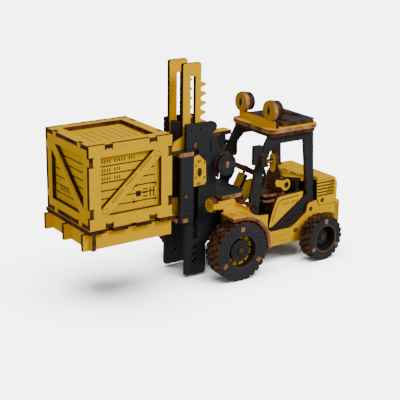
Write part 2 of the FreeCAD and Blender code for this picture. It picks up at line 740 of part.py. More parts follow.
cab_outline = [
    (-71.0, 33.0), (-71.3, 49.5), (-74.6, 70.0), (-80.0, 83.2), (-85.2, cab_top), (-124.8, cab_top),
    (-127.6, 44.0), (-131.0, 37.0), (-122.0, 36.2), (-106.0, 20.4), (-84.0, 20.4), (-71.0, 27.0),
]
cab_door = [
    (-78.2, 40.0), (-81.2, 70.0), (-86.6, 81.8), (-91.4, 86.6), (-116.8, 86.6), (-121.6, 45.4),
    (-97.0, 28.6), (-80.0, 28.6),
]
vents = []
for step in range(3):
    x = -103.7 - 3.9 * step
    z = 27.2 + 3.0 * step
    vents.append([(x, z), (x - 5.0, z + 0.8), (x - 5.0, z + 1.8), (x, z + 1.2)])
for label, low in (("cab_frame_left", cab_inner), ("cab_frame_right", -frame_inner)):
    plate(label, "XZ", low, ply, [cab_outline], cuts=[cab_door] + vents)

door_outline = [
    (-85.5, 27.4), (-88.0, 37.4), (-91.4, 45.6), (-92.7, 47.8), (-95.0, 48.8), (-115.6, 49.4),
    (-114.8, 45.2), (-88.4, 27.4),
]
doors = []
for number, low in enumerate((frame_inner, -frame_outer)):
    sheet_body = doc.addObject("PartDesign::Body", "DoorSheet%d" % number)
    doors.append(plate("DoorSheet%d" % number, "XZ", low, ply, [door_outline], plate_body=sheet_body))

deck_z = Size(21.4, "21.4")
plate("floor_plate", "XY", deck_z + 2.4, ply, [[
    (-45.6, -cab_inner), (-118.0, -cab_inner), (-118.0, -13.0), (-145.0, -13.0),
    (-145.0, 13.0), (-118.0, 13.0), (-118.0, cab_inner), (-45.6, cab_inner),
]])

wall_height = cell("hood_top") - ply
front_wall = block("FrontWall", Size(-45.4, "-45.4"), -mast_inner, Size(26.6, "26.6"),
                   Size(-42.6, "-42.6"), mast_inner, Size(54.2, "54.2"))
dash_wall = block("DashWall", Size(-66.4, "-66.4"), -cab_inner, deck_z + 2.4 + ply,
                  Size(-63.6, "-63.6"), cab_inner, wall_height)
engine_wall = block("EngineWall", Size(-116.0, "-116"), -cab_inner + 0.1, deck_z + 2.4 + ply,
                    Size(-113.2, "-113.2"), cab_inner - 0.1, cell("engine_top") - ply)
tail_wall = block("TailWall", Size(-143.0, "-143"), Size(-13.0, "-13"), deck_z + 2.4 + ply,
                  Size(-140.2, "-140.2"), Size(13.0, "13"), cell("engine_top") - 4.6)
settle(grouped("cross_walls", [front_wall, dash_wall, engine_wall, tail_wall]), "cross_walls")

hood = plate("hood_top", "XY", wall_height, ply, [[
    (-46.0, -21.4), (-46.0, 21.4), (-61.0, 21.4), (-67.2, 17.0), (-67.2, -17.0), (-61.0, -21.4),
]])

# Sloping trim boards that step down from the bonnet beside each door post.
trims = []
for number, sign in enumerate((1.0, -1.0)):
    low = frame_inner if sign > 0 else -frame_inner - 5.6
    item = doc.addObject("PartDesign::Body", "CowlTrim%d" % number)
    plate("CowlTrim%d" % number, "XZ", low, Size(5.6, "5.6"),
          [[(-56.9, 51.4), (-68.2, 45.4), (-71.2, 43.8), (-72.6, 44.4), (-72.4, 46.3),
            (-58.0, 54.0), (-56.4, 53.4)]],
          plate_body=item)
    trims.append(item)
settle(grouped("door_panels", doors), "door_panels")
settle(grouped("cowl_trims", trims), "cowl_trims")

# ---------------------------------------------------------------- bent mudguards

guard_out = cell("fender_outer")
guard_in = guard_out - cell("fender_thick")
guard_edge = cell("fender_edge")
guard_width = guard_edge - frame_outer
rim_guard = cell("fender_thick")
for label, low in (("fender_left", frame_outer), ("fender_right", -guard_edge)):
    hoop = spun_body(label + "_hoop", front_x, zero, front_z)
    washer(hoop, low, guard_width, guard_out, guard_in, name="Hoop")
    shape_sketch = sketch_on(hoop, "XZ", low + guard_width, "Trim")
    # Only the quarter behind and above the wheel stays.
    polygon(shape_sketch, [(-0.6, -40.0), (40.0, -40.0), (40.0, 40.0), (0.0, 40.0), (0.0, 2.0),
                           (-40.0, -6.2), (-40.0, -40.0)])
    cut_through(hoop, shape_sketch, guard_width, "HoopTrim")
    flat = block(label + "_flat", front_x - 0.2, low, front_z + guard_in, front_x + 7.6,
                 low + guard_width, front_z + guard_out)
    settle(fused(label, [hoop, flat]), label)

# ---------------------------------------------------------------- headlights

lamps = []
for number, sign in enumerate((1.0, -1.0)):
    spot_y = 23.6 * sign
    faces = []
    for index, (radius, thick, start) in enumerate(((4.8, 2.2, 0.0), (5.2, 2.2, -2.2))):
        prism = doc.addObject("Part::Prism", "LampPrism%d%d" % (number, index))
        prism.Polygon = 8
        prism.Circumradius = radius
        prism.Height = thick
        turn = FreeCAD.Rotation(FreeCAD.Vector(0, 0, 1), 5.0 * sign)
        turn = turn.multiply(FreeCAD.Rotation(FreeCAD.Vector(0, 1, 0), 90))
        turn = turn.multiply(FreeCAD.Rotation(FreeCAD.Vector(0, 0, 1), 22.5))
        aim = FreeCAD.Rotation(FreeCAD.Vector(0, 0, 1), 5.0 * sign).multVec(FreeCAD.Vector(start, 0, 0))
        prism.Placement = FreeCAD.Placement(FreeCAD.Vector(-35.8, spot_y, 53.0) + aim, turn)
        faces.append(prism)
    y0, y1 = (22.8, 25.6) if sign > 0 else (-25.6, -22.8)
    arm = block("LampArm%d" % number, Size(-46.4, "-46.4"), Size(y0, "%r" % y0), Size(49.4, "49.4"),
                Size(-37.4, "-37.4"), Size(y1, "%r" % y1), Size(55.2, "55.2"))
    lamps.append(fused("Headlight%d" % number, faces + [arm]))
settle(grouped("headlights", lamps), "headlights")

# ---------------------------------------------------------------- engine cover and counterweight

engine_top = cell("engine_top")
engine_front = cell("engine_front")
engine_rear = cell("engine_rear")
cover = plate("engine_cover", "XZ", -frame_outer, frame_outer * 2, [[
    (engine_front, engine_top - 2.6), (engine_front, engine_top), (engine_rear + 7.0, engine_top),
    (engine_rear + 2.4, engine_top - 2.0), (engine_rear, engine_top - 6.6), (engine_rear, Size(36.4, "36.4")),
    (engine_rear + ply, Size(36.4, "36.4")), (engine_rear + ply, engine_top - 6.8),
    (engine_rear + 4.6, engine_top - 4.2), (engine_rear + 7.4, engine_top - 2.6),
]])
nose_cut = sketch_on(cover, "XY", engine_top - 20, "CoverFront")
cover_step = engine_front - 18.6
for sign in (1.0, -1.0):
    polygon(nose_cut, [(engine_front + 1, 8.0 * sign), (engine_front + 1, 30.0 * sign),
                       (cover_step, 30.0 * sign), (cover_step, 17.0 * sign),
                       (engine_front - 8.0, 17.0 * sign), (engine_front - 3.0, 12.5 * sign)])
slot_corners = box_corners(engine_front - 6.4, -3.6, engine_front - 5.0, 3.6)
polygon(nose_cut, slot_corners)
cut_through(cover, nose_cut, Size(24.0, "24"), "CoverFrontCut")

louvres = []
for step in range(5):
    z = 43.0 + 2.4 * step
    louvres.append(box_corners(engine_rear + 5.0, Size(z, "%r" % z),
                               engine_rear + 17.0, Size(z + 0.7, "%r" % (z + 0.7))))
engine_sides = []
for number, low in enumerate((frame_inner, -frame_outer)):
    side = doc.addObject("PartDesign::Body", "EngineSide%d" % number)
    engine_sides.append(side)
    plate("EngineSide%d" % number, "XZ", low, ply, [[
        (engine_rear + ply, Size(36.0, "36")), (-131.2, Size(36.0, "36")), (-128.9, Size(41.0, "41")),
        (-128.0, engine_top - 2.6), (engine_rear + 7.4, engine_top - 2.6),
        (engine_rear + 4.6, engine_top - 4.2), (engine_rear + ply, engine_top - 6.8),
    ]], cuts=louvres, holes=[(-133.9, 39.5, 1.1)], plate_body=side)
settle(grouped("engine_sides", engine_sides), "engine_sides")

weight_out = block("WeightOut", Size(-153.0, "-153"), -frame_outer, Size(15.0, "15"),
                   Size(-146.0, "-146"), frame_outer, Size(36.0, "36"))
weight_round = doc.addObject("Part::Fillet", "WeightRound")
weight_round.Base = weight_out
doc.recompute()
corner_edges = []
for number, edge in enumerate(weight_out.Shape.Edges, 1):
    spot = edge.CenterOfMass
    if abs(spot.x + 153.0) < 0.01 and abs(spot.z - 25.5) < 0.01:
        corner_edges.append((number, 4.5, 4.5))
weight_round.Edges = corner_edges
settle(weight_round, "counterweight")

# ---------------------------------------------------------------- driver's place

base_low = deck_z + 2.4 + ply
pedestal = block("SeatPedestal", Size(-107.0, "-107"), Size(-7.0, "-7"), base_low,
                 Size(-94.0, "-94"), Size(7.0, "7"), Size(40.0, "40"))
cushion = block("SeatCushion", Size(-109.6, "-109.6"), Size(-9.5, "-9.5"), Size(40.0, "40"),
                Size(-91.6, "-91.6"), Size(9.5, "9.5"), Size(46.4, "46.4"))
backrest = block("SeatBack", Size(-109.6, "-109.6"), Size(-8.5, "-8.5"), Size(46.0, "46"),
                 Size(-104.4, "-104.4"), Size(8.5, "8.5"), Size(63.0, "63"))
settle(fused("driver_seat", [pedestal, cushion, backrest]), "driver_seat")

tilt = math.radians(num(cell("wheel_tilt")))
wheel_x = cell("wheel_x")
wheel_z = cell("wheel_z")
lean_turn = FreeCAD.Rotation(FreeCAD.Vector(0, 1, 0), -num(cell("wheel_tilt")))


def along_column(distance):
    """A point on the steering column's axis, measured up from the wheel's centre."""
    back = num(wheel_x) - distance * math.sin(tilt)
    return FreeCAD.Vector(back, 0, num(wheel_z) + distance * math.cos(tilt))


column_plate = doc.addObject("Part::Box", "ColumnPlate")
column_plate.Length = num(ply)
column_plate.Width = 8.0
column_plate.Height = 17.0
column_spot = along_column(-20.4) + lean_turn.multVec(FreeCAD.Vector(-num(ply) / 2, -4.0, 0))
column_plate.Placement = FreeCAD.Placement(column_spot, lean_turn)
column_pin = doc.addObject("Part::Cylinder", "ColumnPin")
column_pin.Radius = 1.0
column_pin.Height = 7.0
column_pin.Placement = FreeCAD.Placement(along_column(-4.6), lean_turn)
column_foot = block("ColumnFoot", Size(-74.4, "-74.4"), Size(-4.0, "-4"), base_low,
                    Size(-69.4, "-69.4"), Size(4.0, "4"), Size(49.4, "49.4"))
settle(fused("steering_column", [column_plate, column_pin, column_foot]), "steering_column")

steer_disc = doc.addObject("Part::Cylinder", "SteerDisc")
steer_disc.Radius = num(cell("wheel_radius"))
bind(steer_disc, "Radius", cell("wheel_radius"))
steer_disc.Height = 3.6
steer_bore = doc.addObject("Part::Cylinder", "SteerBore")
steer_bore.Radius = 1.05
steer_bore.Height = 6.0
steer_bore.Placement.Base = FreeCAD.Vector(0, 0, -1)
tools = [steer_bore]
for number in range(3):
    hole = doc.addObject("Part::Cylinder", "SteerHole%d" % number)
    hole.Radius = 2.0
    hole.Height = 6.0
    turn = math.radians(120 * number + 60)
    hole.Placement.Base = FreeCAD.Vector(5.0 * math.cos(turn), 5.0 * math.sin(turn), -1)
    tools.append(hole)
steering = cut("steering_wheel", steer_disc, fused("SteerHoles", tools))
steering.Placement = FreeCAD.Placement(along_column(-1.8), lean_turn)
finish(steering, "steering_wheel")

lever_body = doc.addObject("PartDesign::Body", "LeverPlate")
plate("LeverPlate", "XZ", Size(11.2, "11.2"), ply, [[
    (-97.2, 57.4), (-96.9, 55.6), (-98.2, 53.2), (-102.2, 52.2), (-103.6, 50.4), (-104.8, 49.2),
    (-107.6, 48.9), (-109.9, 50.4), (-110.7, 53.2), (-109.9, 56.2), (-107.8, 57.5), (-104.8, 56.8),
    (-101.2, 57.2), (-98.4, 58.2),
]], holes=[(-107.2, 53.1, 1.5)], plate_body=lever_body)
lever_pin = rod("LeverPin", Size(1.0, "1"), Size(2.8, "2.8"),
                (Size(-105.6, "-105.6"), Size(8.5, "8.5"), Size(55.4, "55.4")), "Y")
settle(fused("armrest", [lever_body, lever_pin]), "armrest")

# ---------------------------------------------------------------- roof

roof_half = cell("roof_half")
roof_front = cell("roof_front")
roof_rear = cell("roof_rear")
lining_low = cab_top
brim_low = cab_top + ply
lid_low = brim_low + ply
brim = plate("roof_brim", "XY", brim_low, ply,
             [box_corners(roof_rear, -roof_half, roof_front, roof_half)])
soften(brim, Size(6.0, "6"), upright_at([
    (num(roof_front), num(roof_half)), (num(roof_front), -num(roof_half)),
    (num(roof_rear), num(roof_half)), (num(roof_rear), -num(roof_half))], 2))
lining = plate("roof_lining", "XY", lining_low, ply,
               [box_corners(roof_rear + 1.2, 1.2 - roof_half, roof_front - 1.2, roof_half - 1.2)])
soften(lining, Size(5.0, "5"), upright_at([
    (num(roof_front) - 1.2, num(roof_half) - 1.2), (num(roof_front) - 1.2, 1.2 - num(roof_half)),
    (num(roof_rear) + 1.2, num(roof_half) - 1.2), (num(roof_rear) + 1.2, 1.2 - num(roof_half))], 2))
guard_cuts = [
    [(-99.6, -15.6), (-99.6, 15.6), (-106.4, 15.6)],
    [(-103.4, -15.6), (-122.0, 13.4), (-122.0, -2.0), (-113.0, -15.6)],
]
plate("roof_panel", "XY", lid_low, ply, [[
    (-97.0, -20.0), (-97.0, 20.0), (-124.4, 20.0), (-126.4, 18.0), (-126.4, -18.0), (-124.4, -20.0),
]], cuts=guard_cuts)

bar_x = roof_front - 9.0
lamp_y = cell("lamp_offset")
lamp_z = cell("lamp_height")
lamp_r = cell("lamp_radius")
plate("lamp_bar", "YZ", bar_x, ply, [[
    (-21.4, lid_low), (21.4, lid_low), (21.4, lid_low + 5.0), (-21.4, lid_low + 5.0),
]], discs=[(lamp_y, lamp_z, lamp_r - 0.6), (-lamp_y, lamp_z, lamp_r - 0.6)],
    holes=[(lamp_y, lamp_z, Size(1.6, "1.6")), (-lamp_y, lamp_z, Size(1.6, "1.6"))])
roof_lamps = []
for label, y in (("RoofLampLeft", lamp_y), ("RoofLampRight", -lamp_y)):
    lamp_face = rod(label + "_face", lamp_r, ply, (bar_x + ply, y, lamp_z), "X")
    lamp_core = rod(label + "_core", Size(1.6, "1.6"), ply, (bar_x, y, lamp_z), "X")
    lamp_back = rod(label + "_back", lamp_r - 1.0, ply, (bar_x - ply, y, lamp_z), "X")
    roof_lamps.append(fused(label, [lamp_face, lamp_core, lamp_back]))
settle(grouped("roof_lamps", roof_lamps), "roof_lamps")

# ---------------------------------------------------------------- door mirrors

mirror_x = Size(-79.2, "-79.2")
mirror_y = Size(24.2, "24.2")
brackets = []
for number, sign in enumerate((1.0, -1.0)):
    y0 = 20.0 if sign > 0 else -22.6
    holder = block("MirrorPlate%d" % number, Size(-77.4, "-77.4"), Size(y0, "%r" % y0), Size(75.0, "75"),
                   Size(-70.6, "-70.6"), Size(y0 + 2.6, "%r" % (y0 + 2.6)), Size(88.4, "88.4"))
    y0 = 20.0 if sign > 0 else -26.0
    arms = []
    for index, z in enumerate((73.4, 80.0)):
        arms.append(block("MirrorArm%d%d" % (number, index), Size(-81.0, "-81"), Size(y0, "%r" % y0),
                          Size(z, "%r" % z), Size(-77.4, "-77.4"), Size(y0 + 6.0, "%r" % (y0 + 6.0)),
                          Size(z + 2.0, "%r" % (z + 2.0))))
    y0 = 20.0 if sign > 0 else -26.0
    back = block("MirrorBack%d" % number, Size(-77.3, "-77.3"), Size(y0, "%r" % y0), Size(73.4, "73.4"),
                 Size(-75.3, "-75.3"), Size(y0 + 6.0, "%r" % (y0 + 6.0)), Size(82.0, "82"))
    pin_y = mirror_y * sign
    pivot = rod("MirrorPin%d" % number, Size(0.9, "0.9"), Size(8.6, "8.6"),
                (mirror_x, pin_y, Size(73.4, "73.4")), "Z")
    brackets.append(fused("MirrorBracket%d" % number, [holder, back, pivot] + arms))
settle(grouped("mirror_brackets", brackets), "mirror_brackets")

for label, sign in (("mirror_left", 1.0), ("mirror_right", -1.0)):
    y0 = 20.6 if sign > 0 else -27.6
    arm_y = 22.6 if sign > 0 else -25.8
    arm = block(label + "_arm", Size(-86.0, "-86"), Size(arm_y, "%r" % arm_y), Size(75.8, "75.8"),
                mirror_x + 0.2, Size(arm_y + 3.2, "%r" % (arm_y + 3.2)), Size(78.0, "78"))
    knuckle = rod(label + "_eye", Size(1.55, "1.55"), Size(4.2, "4.2"),
                  (mirror_x, mirror_y * sign, Size(75.6, "75.6")), "Z")
    middle = Size(y0 + 3.5, "%r" % (y0 + 3.5))
    glass = block(label + "_slab", Size(-88.4, "-88.4"), Size(y0, "%r" % y0), Size(72.2, "72.2"),
                  Size(-85.6, "-85.6"), Size(y0 + 7.0, "%r" % (y0 + 7.0)), Size(78.4, "78.4"))
    slab_x = Size(-88.4, "-88.4")
    upper = rod(label + "_upper", Size(3.5, "3.5"), ply, (slab_x, middle, Size(78.4, "78.4")), "X")
    lower = rod(label + "_lower", Size(3.5, "3.5"), ply, (slab_x, middle, Size(72.2, "72.2")), "X")
    solid = fused(label + "_solid", [arm, knuckle, glass, upper, lower])
    bore = rod(label + "_bore", Size(0.95, "0.95"), Size(12.0, "12"),
               (mirror_x, mirror_y * sign, Size(72.0, "72")), "Z")
    settle(cut(label, solid, bore), label)

# ---------------------------------------------------------------- axles and wheels

front_axle = rod("FrontAxle", shaft_r, (cell("front_face") - 1.4) * 2,
                 (front_x, 1.4 - cell("front_face"), front_z), "Y")
settle(front_axle, "front_axle")

kingpin_y = cell("kingpin_y")
king_r = cell("kingpin_radius")
beam_low = rear_z - 1.4
beam_core = block("BeamCore", rear_x - 3.0, -kingpin_y, beam_low, rear_x + 3.0, kingpin_y, beam_low + ply)
beam_post = block("BeamPost", rear_x - 4.0, Size(-9.0, "-9"), beam_low + ply - 0.1,
                  rear_x + 4.0, Size(9.0, "9"), deck_z + 2.4)
beam_ends = []
beam_bores = []
for number, sign in enumerate((1.0, -1.0)):
    beam_ends.append(rod("BeamEnd%d" % number, Size(3.0, "3"), ply,
                         (rear_x, kingpin_y * sign, beam_low), "Z"))
    beam_bores.append(rod("BeamBore%d" % number, king_r + 0.05, ply + 2,
                          (rear_x, kingpin_y * sign, beam_low - 1), "Z"))
axle_solid = fused("AxleSolid", [beam_core, beam_post] + beam_ends)
settle(cut("rear_axle_beam", axle_solid, fused("AxleBores", beam_bores)), "rear_axle_beam")

steer = num(cell("steer_angle"))


def turned(item, label, sign):
    """Place a steered piece, drawn about its kingpin, at the steering angle."""
    item.Placement = FreeCAD.Placement(
        FreeCAD.Vector(num(rear_x), num(kingpin_y) * sign, 0),
        FreeCAD.Rotation(FreeCAD.Vector(0, 0, 1), steer))
    return finish(item, label)


def wheel_ring(name, x, z, low, wide, outer, inner, lugs, depth):
    """A tyre: a ring with shallow lug gaps cut across its tread."""
    body = spun_body(name, x, zero, z)
    washer(body, low, wide, outer, inner, name="Ring")
    gap_sketch = sketch_on(body, "XZ", low + wide, "LugGap")
    polygon(gap_sketch, [(outer - depth, Size(-0.8, "-0.8")), (outer + 1.0, Size(-1.3, "-1.3")),
                         (outer + 1.0, Size(1.3, "1.3")), (outer - depth, Size(0.8, "0.8"))])
    lug_cut = cut_through(body, gap_sketch, wide, "LugCut")
    patterned(body, lug_cut, lugs, "Lugs")
    return body


def wheel_rim(name, x, z, layers, bore):
    """Stacked discs that fill a tyre, with the axle's hole through them."""
    body = spun_body(name, x, zero, z)
    for index, (low, thick, radius) in enumerate(layers):
        washer(body, low, thick, radius, bore, name="Layer%d" % index)
    return body


face = cell("front_face")
wide = cell("front_wide")
for label, sign in (("left", 1.0), ("right", -1.0)):
    low = face - wide if sign > 0 else -face
    world_x = front_x + cell("plan_shift")
    tyre = wheel_ring("front_tyre_" + label, world_x, front_z, low, wide,
                      cell("front_radius"), cell("front_bore"), 26, 1.0)
    tyre.Label = "front_tyre_" + label
    finished.append(tyre)
    disc_low = low + 3.0 if sign > 0 else low + wide - 3.0 - 5.6
    hub_low = disc_low + 5.6 if sign > 0 else disc_low - ply
    rim = wheel_rim("front_rim_" + label, world_x, front_z, [
        (disc_low, Size(5.6, "5.6"), cell("front_bore")),
        (hub_low, ply, Size(7.8, "7.8")),
    ], bore_r)
    rim.Label = "front_rim_" + label
    finished.append(rim)

rear_face = cell("rear_face")
rear_wide = cell("rear_wide")
for label, sign in (("left", 1.0), ("right", -1.0)):
    out = rear_face - kingpin_y
    low = out - rear_wide if sign > 0 else -out
    tyre = wheel_ring("TyreRing_" + label, zero, rear_z, low, rear_wide,
                      cell("rear_radius"), cell("rear_bore"), 22, 1.0)
    turned(grouped("TyreHold_" + label, [tyre]), "rear_tyre_" + label, sign)
    disc_low = low + 2.0 if sign > 0 else low + rear_wide - 2.0 - 3.6
    hub_low = disc_low + 3.6 if sign > 0 else disc_low - 1.8
    rim = wheel_rim("RimDiscs_" + label, zero, rear_z, [
        (disc_low, Size(3.6, "3.6"), cell("rear_bore")),
        (hub_low, Size(1.8, "1.8"), Size(6.2, "6.2")),
    ], bore_r)
    turned(grouped("RimHold_" + label, [rim]), "rear_rim_" + label, sign)

    web_in = Size(4.2, "4.2") if sign > 0 else Size(-5.4, "-5.4")
    web = block("KnuckleWeb_" + label, Size(-3.0, "-3"), web_in, rear_z - 4.8,
                Size(3.0, "3"), web_in + 1.2, rear_z + 4.8)
    arm_low = Size(-2.6, "-2.6") if sign > 0 else Size(-4.4, "-4.4")
    upper = block("KnuckleUpper_" + label, Size(-3.0, "-3"), arm_low, rear_z + 1.8,
                  Size(3.0, "3"), arm_low + 7.0, rear_z + 4.8)
    lower = block("KnuckleLower_" + label, Size(-3.0, "-3"), arm_low, rear_z - 4.8,
                  Size(3.0, "3"), arm_low + 7.0, rear_z - 1.8)
    king = rod("Kingpin_" + label, king_r, Size(7.0, "7"), (zero, zero, rear_z - 3.5), "Z")
    stub_low = Size(5.2, "5.2") if sign > 0 else -out + 3.2
    stub = rod("Stub_" + label, shaft_r, out - 3.2 - 5.2, (zero, stub_low, rear_z), "Y")
    knuckle = fused("KnuckleSolid_" + label, [web, upper, lower, king, stub])
    turned(grouped("KnuckleHold_" + label, [knuckle]), "rear_knuckle_" + label, sign)

# ---------------------------------------------------------------- check and write

doc.recompute()
for item in doc.Objects:
    if "Invalid" in item.State or "Error" in item.State:
        raise RuntimeError("failed object: " + item.Name + " " + str(item.State))

labels = set()
for item in finished:
    label = item.Label
    if label in labels:
        raise RuntimeError("label used twice: " + label)
    labels.add(label)
    shape = item.Shape
    if shape.isNull() or not shape.isValid() or shape.Volume < 1.0:
        raise RuntimeError("bad shape: " + label)

for item in finished:
    item.Shape.exportStep("parts/" + item.Label + ".step")
print("%d pieces" % len(finished))
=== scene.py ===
import math

import bmesh
import bpy
from mathutils import Matrix, Vector


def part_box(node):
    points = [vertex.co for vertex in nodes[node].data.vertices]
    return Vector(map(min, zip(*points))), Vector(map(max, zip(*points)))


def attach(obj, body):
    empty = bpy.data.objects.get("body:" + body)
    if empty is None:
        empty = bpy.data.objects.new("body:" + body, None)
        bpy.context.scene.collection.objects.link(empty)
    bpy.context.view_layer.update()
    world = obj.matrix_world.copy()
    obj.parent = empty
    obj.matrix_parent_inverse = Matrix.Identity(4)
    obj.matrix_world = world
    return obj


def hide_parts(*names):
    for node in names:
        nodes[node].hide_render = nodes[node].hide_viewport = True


# Toy forklift of slotted plywood.  Lengths below are millimetres in the maker's own
# frame: x = 0 is the rear face of the crate, +X forward, +Y the driver's left, +Z up.

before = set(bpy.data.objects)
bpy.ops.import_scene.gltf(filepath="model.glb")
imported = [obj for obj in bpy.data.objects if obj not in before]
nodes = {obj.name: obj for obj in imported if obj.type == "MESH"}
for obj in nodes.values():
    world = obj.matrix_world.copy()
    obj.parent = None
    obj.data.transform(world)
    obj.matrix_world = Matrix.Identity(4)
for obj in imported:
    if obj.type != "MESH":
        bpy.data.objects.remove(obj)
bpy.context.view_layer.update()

MM = 0.001
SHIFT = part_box("crate_lid")[0][0] / MM
BOTH = (1.0, -1.0)
SIDES = tuple(zip(BOTH, ("left", "right")))

# Faces and lengths that more than one detail is set out from.
CRATE_LONG = 60.0
CRATE_HALF = 29.25
CRATE_TOP = 108.0
PLANK_FACE = 26.4
PALLET_HALF = 30.0
CROSS_LOW, CROSS_HIGH = 40.4, 51.1
MAST_FRONT = -21.0
MAST_FACE = 14.25
SLIDER_FACE = 17.85
CHEEK_FACE = 17.35
FRAME_FACE = 22.8
HOOD_TOP = 57.0
ENGINE_TOP = 57.6
ROOF_TOP = 100.8
RACK_PITCH = 6.35
PINION_TEETH = 11
SEAM = 0.32

# ---------------------------------------------------------------- materials


class Graph:
    """A material and short ways to add nodes to it."""

    def __init__(self, name, specular=0.25):
        self.material = bpy.data.materials.new(name)
        self.material.use_nodes = True
        self.tree = self.material.node_tree
        self.shader = self.tree.nodes["Principled BSDF"]
        self.shader.inputs["Specular IOR Level"].default_value = specular
        coords = self.tree.nodes.new("ShaderNodeTexCoord")
        self.place = coords.outputs["Object"]
        self.normal = coords.outputs["Normal"]

    def node(self, kind, inputs, **settings):
        item = self.tree.nodes.new(kind)
        for key, value in settings.items():
            setattr(item, key, value)
        for key, value in inputs.items():
            if isinstance(value, bpy.types.NodeSocket):
                self.tree.links.new(value, item.inputs[key])
            else:
                item.inputs[key].default_value = value
        return item

    def math(self, kind, *values):
        return self.node("ShaderNodeMath", dict(enumerate(values)), operation=kind).outputs[0]

    def dot(self, vector, axis):
        item = self.node("ShaderNodeVectorMath", {0: vector, 1: axis}, operation="DOT_PRODUCT")
        return item.outputs["Value"]

    def noise(self, scale, detail=2.0, stretch=(1.0, 1.0, 1.0)):
        mapped = self.node("ShaderNodeMapping", {"Vector": self.place, "Scale": stretch})
        item = self.node("ShaderNodeTexNoise",
                         {"Vector": mapped.outputs[0], "Scale": scale, "Detail": detail})
        return item.outputs["Fac"]

    def ramp(self, factor, stops):
        item = self.node("ShaderNodeValToRGB", {0: factor})
        ramp = item.color_ramp
        while len(ramp.elements) < len(stops):
            ramp.elements.new(0.5)
        for element, (position, colour) in zip(ramp.elements, stops):
            element.position = position
            element.color = (*colour, 1.0)
        return item.outputs[0]

    def mix(self, factor, first, second, blend="MIX"):
        item = self.tree.nodes.new("ShaderNodeMix")
        item.data_type = "RGBA"
        item.blend_type = blend
        for key, value in ((0, factor), (6, first), (7, second)):
            if isinstance(value, bpy.types.NodeSocket):
                self.tree.links.new(value, item.inputs[key])
            elif key == 0:
                item.inputs[key].default_value = value
            else:
                item.inputs[key].default_value = (*value, 1.0)
        return item.outputs[2]

    def bump(self, height, strength, distance):
        item = self.node("ShaderNodeBump",
                         {"Height": height, "Strength": strength, "Distance": distance})
        self.tree.links.new(item.outputs[0], self.shader.inputs["Normal"])

    def colour(self, socket):
        self.tree.links.new(socket, self.shader.inputs["Base Color"])

    def rough(self, socket):
        self.tree.links.new(socket, self.shader.inputs["Roughness"])


PAINTS = {
    "yellow": ((0.84, 0.445, 0.0), (0.92, 0.515, 0.0)),
    "black": ((0.018, 0.019, 0.021), (0.027, 0.028, 0.031)),
    "natural": ((0.10, 0.036, 0.014), (0.26, 0.110, 0.045)),
    "seat": ((0.085, 0.022, 0.010), (0.21, 0.070, 0.028)),
}
# Burn tones of the cut edges. The tan tone is partly a painted highlight on sheet edges that catch
# the light, and the dark tone is partly painted shade on edges turned from it; the rest is the burn
# of the cut.
EDGES = {
    "dark": ((0.006, 0.003, 0.002), (0.040, 0.013, 0.006)),
    "brown": ((0.014, 0.005, 0.003), (0.150, 0.052, 0.020)),
    "tan": ((0.13, 0.050, 0.016), (0.62, 0.31, 0.12)),
    "rust": ((0.070, 0.020, 0.007), (0.42, 0.150, 0.045)),
    "tread": ((0.003, 0.002, 0.002), (0.17, 0.066, 0.022)),
}
X, Y, Z = (1, 0, 0), (0, 1, 0), (0, 0, 1)
FACING = 0.85
LAYER_RATE = 6720.0
PAINT_GRAIN = 0.00008
made = {}


def plywood(paint, axes, edge, grain=X):
    """Painted sheet faces across the given axes and laser-burnt layered edges between them; the tan
    and dark edge tones are partly painted highlight and painted shade.
    """
    key = (paint, axes, edge, grain)
    if key in made:
        return made[key]
    graph = Graph("ply_%s_%s_%d" % (paint, edge, len(made)), 0.08 if paint == "yellow" else 0.25)
    facing = None
    for axis in axes:
        part = graph.math("ABSOLUTE", graph.dot(graph.normal, axis))
        facing = part if facing is None else graph.math("MAXIMUM", facing, part)
    face = graph.math("GREATER_THAN", facing, FACING)
    along = tuple(70.0 if abs(g) > 0.5 else 900.0 for g in grain)
    fibre = graph.noise(1.0, 4.0, along)
    broad = graph.noise(45.0, 2.0)
    blend = graph.math("ADD", graph.math("MULTIPLY", fibre, 0.65),
                       graph.math("MULTIPLY", broad, 0.35))
    low, high = PAINTS[paint]
    skin = graph.ramp(blend, [(0.34, low), (0.66, high)])
    char = graph.noise(170.0, 4.0)
    depth = graph.dot(graph.place, axes[0])
    layer = graph.math("SINE", graph.math("MULTIPLY", depth, LAYER_RATE))
    layered = graph.math("ADD", char, graph.math("MULTIPLY", layer, 0.09))
    burnt = graph.ramp(layered, [(0.34, EDGES[edge][0]), (0.70, EDGES[edge][1])])
    graph.colour(graph.mix(face, burnt, skin))
    graph.rough(graph.math("ADD", graph.math("MULTIPLY", fibre, 0.18), 0.50))
    graph.bump(graph.math("ADD", fibre, char), 0.25, PAINT_GRAIN)
    made[key] = graph.material
    return graph.material


def plain(name, low, high, scale=260.0, rough=0.6, stretch=(1.0, 1.0, 1.0)):
    """A small part's finish: mottled between two colours."""
    if name in made:
        return made[name]
    graph = Graph(name)
    spots = graph.noise(scale, 3.0, stretch)
    graph.colour(graph.ramp(spots, [(0.35, low), (0.68, high)]))
    graph.rough(graph.math("ADD", graph.math("MULTIPLY", spots, 0.2), rough - 0.1))
    graph.bump(spots, 0.2, 0.00006)
    made[name] = graph.material
    return graph.material


